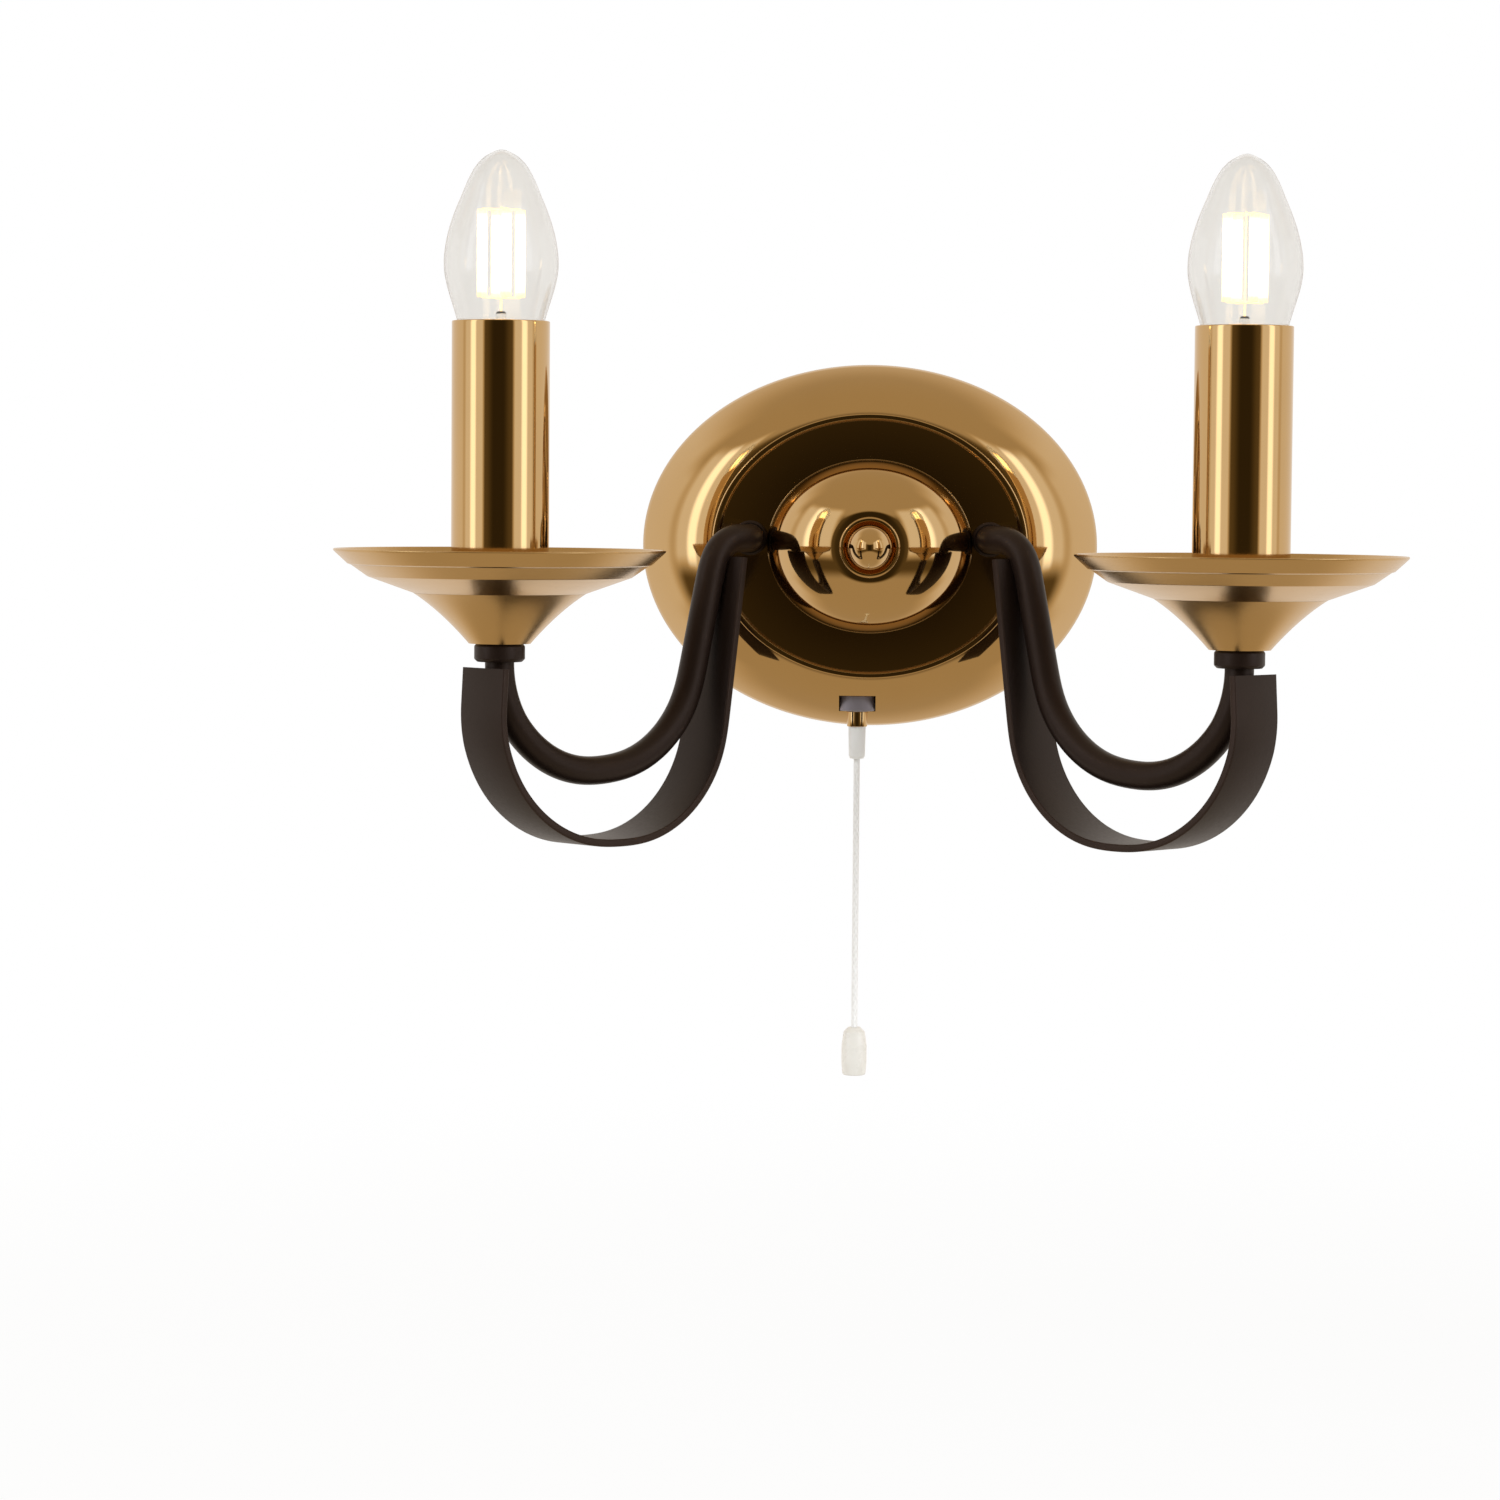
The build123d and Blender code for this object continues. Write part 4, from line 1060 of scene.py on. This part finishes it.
# ---------------------------------------- arms
def on_arm(along, up, side):
    """Point of one arm's upright plane, in millimetres."""
    run = along / ARM_REACH
    depth = ROOT_DEPTH + (-CUP.y - ROOT_DEPTH) * run
    return Vector((side * (ROOT_X + (CUP.x - ROOT_X) * run), -depth, up))


def arm_line(name, corners, side, lead_in=()):
    """Mesh of straight runs between an arm's corners, each with its bend radius."""
    points = [(Vector(point), radius) for *point, radius in lead_in]
    points += [(on_arm(along, up, side), radius) for along, up, radius in corners]
    mesh = bpy.data.meshes.new(name)
    runs = [(i, i + 1) for i in range(len(points) - 1)]
    mesh.from_pydata([point * MM for point, _ in points], runs, [])
    mark(mesh, "bend", [radius * MM for _, radius in points])
    return put(name, mesh)


def bent_line(tree):
    """Curve through the given corners, with each bend rounded by its radius and then eased."""
    curve = tree.geo("MeshToCurve", Mesh=tree.given["Geometry"])
    bend = tree.geo("InputNamedAttribute", {"data_type": "FLOAT"}, Name="bend")
    curve = tree.geo("FilletCurve", {"mode": "POLY"},
                     Curve=curve, Count=40, Radius=bend, Limit_Radius=True)
    curve = tree.geo("ResampleCurve", {"mode": "LENGTH"}, Curve=curve, Length=LINE_STEP)
    from_end = tree.math("PINGPONG", tree.geo("SplineParameter"), 0.5)
    eased = tree.geo("BlurAttribute", {"data_type": "FLOAT_VECTOR"},
                     Iterations=30, Weight=tree.ramp(from_end, 0.12, 0.22))
    place = tree.geo("InputPosition")
    for socket in eased.node.inputs:
        if socket.name == "Value" and socket.enabled:
            tree.tree.links.new(place, socket)
    eased = next(socket for socket in eased.node.outputs if socket.enabled)
    return tree.geo("SetPosition", Geometry=curve, Position=eased)


def tube_tree():
    """Round tube with an open bore along a bent line."""
    tree = Tree("bent_tube", Diameter="Float", Wall="Float")
    line = bent_line(tree)
    half = tree.math("MULTIPLY", tree.given["Diameter"], 0.5)
    bore = tree.math("SUBTRACT", half, tree.given["Wall"])
    outer, inner = (tree.sweep(line, 48, radius) for radius in (half, bore))
    return tree.end(tree.join(outer, tree.geo("FlipFaces", Mesh=inner)))


def strap_tree():
    """Flat strap with softened edges along a bent line; the rub attribute is 1 on its edges."""
    tree = Tree("bent_strap", Width="Float", Thickness="Float", Across="Vector")
    width, thickness = tree.given["Width"], tree.given["Thickness"]
    line = tree.geo("SetCurveNormal", {"mode": "FREE"},
                    Curve=bent_line(tree), Normal=tree.given["Across"])
    soft = tree.math("MULTIPLY", thickness, STRAP_SOFTENING)
    bar = tree.geo("CurvePrimitiveQuadrilateral", Width=width, Height=thickness)
    bar = tree.geo("FilletCurve", {"mode": "POLY"}, Curve=bar, Count=4, Radius=soft)
    inset = tree.math("SUBTRACT", tree.math("MULTIPLY", width, 0.5), soft)
    rub = tree.math("GREATER_THAN", tree.math("ABSOLUTE", tree.place_along("X")), inset)
    bar = tree.store(bar, "rub", rub)
    return tree.end(tree.geo("CurveToMesh", Curve=line, Profile_Curve=bar, Fill_Caps=True))


class SCONCE_OT_arms(Operator):
    """Bend both arms: tube, flat strap, root ring and collar"""

    bl_idname = "sconce.arms"
    bl_label = "Arms"

    def execute(self, context):
        arms, bronze = context.scene.sconce_arms, finish_of("bronze_black")
        tubes, straps = tube_tree(), strap_tree()
        for side_name, side in SIDES:
            start = (side * ROOT_X, -TUBE_INNER_DEPTH, ROOT_Z, 0)
            line = arm_line("tube_" + side_name, TUBE_CORNERS, side, [start])
            tube = tubes.carry_out(line, Diameter=arms.tube_d, Wall=TUBE_WALL * MM, Finish=bronze)
            dress(smooth(tube), "bronze_black", "arm_tube_" + side_name)

            run = on_arm(1, 0, side) - on_arm(0, 0, side)
            across = run.cross(Vector((0, 0, 1))).normalized()
            line = arm_line("strap_" + side_name, STRAP_CORNERS, side)
            strap = straps.carry_out(line, Width=arms.strap_w, Thickness=arms.strap_t,
                                     Across=across, Finish=bronze)
            dress(smooth(strap), "bronze_black", "arm_strap_" + side_name)

            low, high = FIELD_DEPTH, FIELD_DEPTH + ROOT_RING_H
            ring = rounded([(4.5, low), (5.7, low), (5.7, high - 0.6, 0.5), (5.0, high, 0.3),
                            (4.5, high)])
            spin("root_ring_" + side_name, ring, (side * ROOT_X, 0, ROOT_Z), 72, "bronze_black",
                 "arm_root_ring_" + side_name, out_of_wall=True)
            low, high = levels("cup_collar_" + side_name)
            collar = rounded([
                (4.5, low), (6.9, low, 0.4), (7.8, low + 0.9, 0.6), (7.8, high - 0.8, 0.5),
                (7.1, high, 0.3), (5.0, high), (5.0, high - 3.0), (4.5, high - 3.0)])
            spin("collar_" + side_name, collar, cup_axis(side), 96, "bronze_black",
                 "cup_collar_" + side_name)
        return {"FINISHED"}


# ---------------------------------------- cups, pans and candles
def cup_axis(side):
    """Where the axis of one side's cup, candle and bulb stands."""
    return (side * CUP.x, CUP.y, 0)


class SCONCE_OT_cups(Operator):
    """Turn the flared cones and the stepped drip pans"""

    bl_idname = "sconce.cups"
    bl_label = "Cups and drip pans"

    def execute(self, context):
        foot, top, rim = CONE_FOOT, PAN_FLOOR, PAN_RIM
        shares = [step / CONE_STEPS for step in range(CONE_STEPS + 1)]
        flare = [(CONE_FOOT_R + CONE_FLARE * share,
                  foot + (top - foot) * ((1 + CONE_BELLY) * share - CONE_BELLY * share ** 2))
                 for share in shares]
        inner = [(radius - 1.1, height + 0.35) for radius, height in flare[1:-1]]
        cone = [*rounded([(5.0, foot), (9.2, foot, 0.2)], 2), *flare, (25.0, top), *inner[::-1],
                (8.6, foot + 1.3), (5.0, foot + 1.3)]
        under = [(5.0, top), (26.5, top, 1.5), (40.5, rim - 8.5, 1.6), (45.6, rim - 4.9, 0.5),
                 (46.6, rim - 4.6, 0.5), (50.7, rim - 0.8, 0.5), (51.0, rim - 0.3, 0.25),
                 (50.7, rim, 0.2)]
        over = [(49.9, rim - 0.05, 0.5), (46.2, rim - 3.7, 0.5), (45.3, rim - 4.0, 0.5),
                (40.2, rim - 7.6, 1.6), (26.5, top + PAN_SHEET, 2.5), (5.0, top + PAN_SHEET)]
        pan = rounded(under + over, 5)
        for side_name, side in SIDES:
            for name, node, profile, around in (("cone_", "cone_cup_", cone, 192),
                                                ("pan_", "drip_pan_", pan, 256)):
                spin(name + side_name, profile, cup_axis(side), around, "polished_brass",
                     node + side_name, look="spun_brass")
        return {"FINISHED"}


class SCONCE_OT_sleeves(Operator):
    """Draw the brass candle sleeves"""

    bl_idname = "sconce.sleeves"
    bl_label = "Candle sleeves"

    def execute(self, context):
        for side_name, side in SIDES:
            node = "candle_sleeve_" + side_name
            low, high = levels(node)
            radius = radius_of(node)
            inner = radius - SLEEVE_WALL
            profile = rounded([(inner, low, 0.2), (radius, low, 0.2), (radius, low + 1.2),
                               (radius, high - 1.2), (radius, high, 0.35), (inner, high, 0.35),
                               (inner, high - 1.2)])
            spin("sleeve_" + side_name, profile, cup_axis(side), 192, "polished_brass", node)
        return {"FINISHED"}


def radius_of(node):
    """Half of a CAD node's width, in millimetres."""
    low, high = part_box(node)
    return (high.x - low.x) / 2 / MM


# ---------------------------------------- bulbs
def flame(neck, widest, foot, tip):
    """Candle-flame outline as (radius, height) points from the neck up to the tip."""
    shoulder = foot + 0.52 * (tip - foot)
    knots = ((neck, foot), (widest * 0.77, foot + (shoulder - foot) * 0.56), (widest, shoulder),
             (widest * 0.74, shoulder + (tip - shoulder) * 0.55), (widest * 0.22, tip - 1.4),
             (0, tip))
    return through(knots, start=(0, 1), end=(-1, 0), spacing=1.1)


def filament_tree():
    """Upright glowing sticks on a circle, with wires from both ends of each to the middle."""
    tree = Tree("filaments", Sticks="Int", Circle="Float", Thickness="Float", Length="Float",
                Turn="Float")
    size = tree.given
    circle = tree.geo("CurvePrimitiveCircle", Resolution=size["Sticks"],
                      Radius=tree.math("MULTIPLY", size["Circle"], 0.5))
    spots = tree.geo("CurveToPoints", {"mode": "EVALUATED"}, Curve=circle)
    radius = tree.math("MULTIPLY", size["Thickness"], 0.5)
    half = tree.math("MULTIPLY", size["Length"], 0.5)
    stick = tree.geo("MeshCylinder", Vertices=20, Side_Segments=24,
                     Radius=radius, Depth=size["Length"])
    from_middle = tree.math("DIVIDE", tree.math("ABSOLUTE", tree.place_along("Z")), half)
    parts = [tree.store(stick, "tip", tree.ramp(from_middle, 0.70, 0.93))]
    for way in (-1, 1):
        height = tree.math("MULTIPLY", half, way * 1.012)
        hub = tree.vector(X=tree.math("MULTIPLY", size["Circle"], -0.5), Z=height)
        spoke = tree.geo("CurvePrimitiveLine", Start=hub, End=tree.vector(Z=height))
        parts.append(tree.store(tree.sweep(spoke, 8, SPOKE_R, capped=True), "tip", 1.0))
    outwards = tree.node("ShaderNodeVectorMath", {"operation": "NORMALIZE"},
                         {0: tree.geo("InputPosition")})
    turn = tree.node("FunctionNodeAlignEulerToVector", {"axis": "X", "pivot_axis": "Z"},
                     {"Vector": outwards})
    crown = tree.geo("InstanceOnPoints", Points=spots, Instance=tree.join(*parts), Rotation=turn)
    return tree.end(tree.geo("Transform", Geometry=crown, Rotation=tree.vector(Z=size["Turn"])))


class SCONCE_OT_bulbs(Operator):
    """Blow the clear candle bulbs and set their glowing filaments"""

    bl_idname = "sconce.bulbs"
    bl_label = "Bulbs"

    def execute(self, context):
        bulbs, crown = context.scene.sconce_bulbs, filament_tree()
        for side_name, side in SIDES:
            body, place = "bulb_" + side_name, cup_axis(side)
            foot, tip = levels("bulb_glass_" + side_name)
            radius = radius_of("bulb_glass_" + side_name)
            outer = flame(GLASS_NECK_R, radius, foot, tip)
            inner = flame(GLASS_NECK_R - GLASS_WALL, radius - GLASS_WALL, foot, tip - GLASS_WALL)
            spin("glass_" + side_name, outer + inner[::-1], place, 144, "clear_glass",
                 "bulb_glass_" + side_name, body=body, sharp_deg=60)

            low, high = levels("bulb_stem_" + side_name)
            stem = rounded([
                (0, low), (5.4, low, 0.3), (4.9, low + 3, 2), (2.4, low + 10, 6),
                (1.6, low + 16, 5), (1.6, high - 0.8, 0.5), (1.2, high, 0.4), (0, high)], 5)
            spin("stem_" + side_name, stem, place, 72, "clear_glass", "bulb_stem_" + side_name,
                 body=body)

            low, high = levels("bulb_filaments_" + side_name)
            middle = (low + FILAMENT_FOOT + high - FILAMENT_TOP) / 2
            seed = put("filaments_" + side_name, bpy.data.meshes.new("seed"))
            sticks = crown.carry_out(
                seed, Sticks=bulbs.sticks, Circle=bulbs.circle_d, Thickness=bulbs.stick_d,
                Length=STICK_LENGTH * MM, Turn=bulbs.turn, Finish=finish_of("lit_filament"))
            sticks.data.transform(Matrix.Translation(Vector((place[0], place[1], middle)) * MM))
            mast = turned("mast", [(0, low), (MAST_R, low), (MAST_R, high), (0, high)], place, 16)
            mark(mast.data, "tip", [1.0] * len(mast.data.vertices))
            lit = dress(smooth(joined(sticks, mast)), "lit_filament", "bulb_filaments_" + side_name,
                        body=body)
            lit.visible_glossy = False
        return {"FINISHED"}


# ---------------------------------------- pieces that keep their CAD shape
BROKEN_EDGES = {"switch_body": 0.8, "switch_lid": 0.5, "terminal_block": 0.6,
                "arm_lock_nut_left": 0.35, "arm_lock_nut_right": 0.35, "stud_lock_nut": 0.35}
FLAT_ANGLE, EDGE_ANGLE = math.radians(1), math.radians(40)


def softened(node, width=0.0):
    """Copy of a CAD node, with its sharp edges broken by this width, to show in its place."""
    work = bmesh.new()
    work.from_mesh(frame["nodes"][node].data)
    bmesh.ops.remove_doubles(work, verts=work.verts, dist=1e-6)
    if width:
        bmesh.ops.dissolve_limit(work, angle_limit=FLAT_ANGLE, verts=work.verts,
                                 edges=work.edges)
    mesh = bpy.data.meshes.new(node + "_soft")
    work.to_mesh(mesh)
    work.free()
    piece = put(node + "_soft", mesh)
    if width:
        edges = piece.modifiers.new("broken_edges", "BEVEL")
        edges.width, edges.segments, edges.limit_method = width * MM, 3, "ANGLE"
        edges.angle_limit = EDGE_ANGLE
        piece = made_plain(piece)
    return smooth(piece, 35)


class SCONCE_OT_fittings(Operator):
    """Break the edges of the plain fittings and give all hidden ones their finishes"""

    bl_idname = "sconce.fittings"
    bl_label = "Hidden fittings"

    def execute(self, context):
        slots = {part["node"]: part["material_slot"] for part in frame["record"]["subparts"]}
        for name, width in BROKEN_EDGES.items():
            dress(softened(name, width), slots[name], name)

        spring = dress(softened("switch_spring"), "zinc_steel", "switch_spring")
        low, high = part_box("switch_spring")
        travel = next(joint["range_m"][1] for joint in frame["record"]["behaviour"]["joints"]
                      if joint["name"] == "cord_pull")
        1 - travel / (high.z - low.z)
        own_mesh(spring)
        for name, slot in slots.items():
            if not frame["nodes"][name].hide_render:
                paint(frame["nodes"][name], slot)
        return {"FINISHED"}


# ---------------------------------------- panel and registration
class SCONCE_PT_maker(Panel):
    """Sizes, colours and steps of the wall light"""

    bl_idname = "SCONCE_PT_maker"
    bl_label = "Wall sconce"
    bl_space_type = "VIEW_3D"
    bl_region_type = "UI"
    bl_category = "Sconce"

    def draw(self, context):
        for name in GROUPS:
            box = self.layout.box()
            box.label(text=name.replace("sconce_", "").capitalize())
            group = getattr(context.scene, name)
            for prop in group.bl_rna.properties:
                if prop.identifier not in ("rna_type", "name"):
                    box.prop(group, prop.identifier)
        for step in STEPS:
            self.layout.operator(step.bl_idname)


GROUPS = {"sconce_brass": SconceBrass, "sconce_arms": SconceArms, "sconce_bulbs": SconceBulbs,
          "sconce_pull": SconcePull, "sconce_stage": SconceStage}
STEPS = (SCONCE_OT_stage, SCONCE_OT_pull_cord, SCONCE_OT_switch, SCONCE_OT_backplate,
         SCONCE_OT_finial, SCONCE_OT_arms, SCONCE_OT_cups, SCONCE_OT_sleeves, SCONCE_OT_bulbs,
         SCONCE_OT_fittings)
CLASSES = (*GROUPS.values(), *STEPS, SCONCE_PT_maker)


def register():
    for kind in CLASSES:
        bpy.utils.register_class(kind)
    for name, group in GROUPS.items():
        setattr(bpy.types.Scene, name, PointerProperty(type=group))


def unregister():
    for name in GROUPS:
        delattr(bpy.types.Scene, name)
    for kind in reversed(CLASSES):
        bpy.utils.unregister_class(kind)


def main():
    register()
    for step in STEPS:
        prefix, name = step.bl_idname.split(".")
        getattr(getattr(bpy.ops, prefix), name)()


if __name__ == "__main__":
    main()
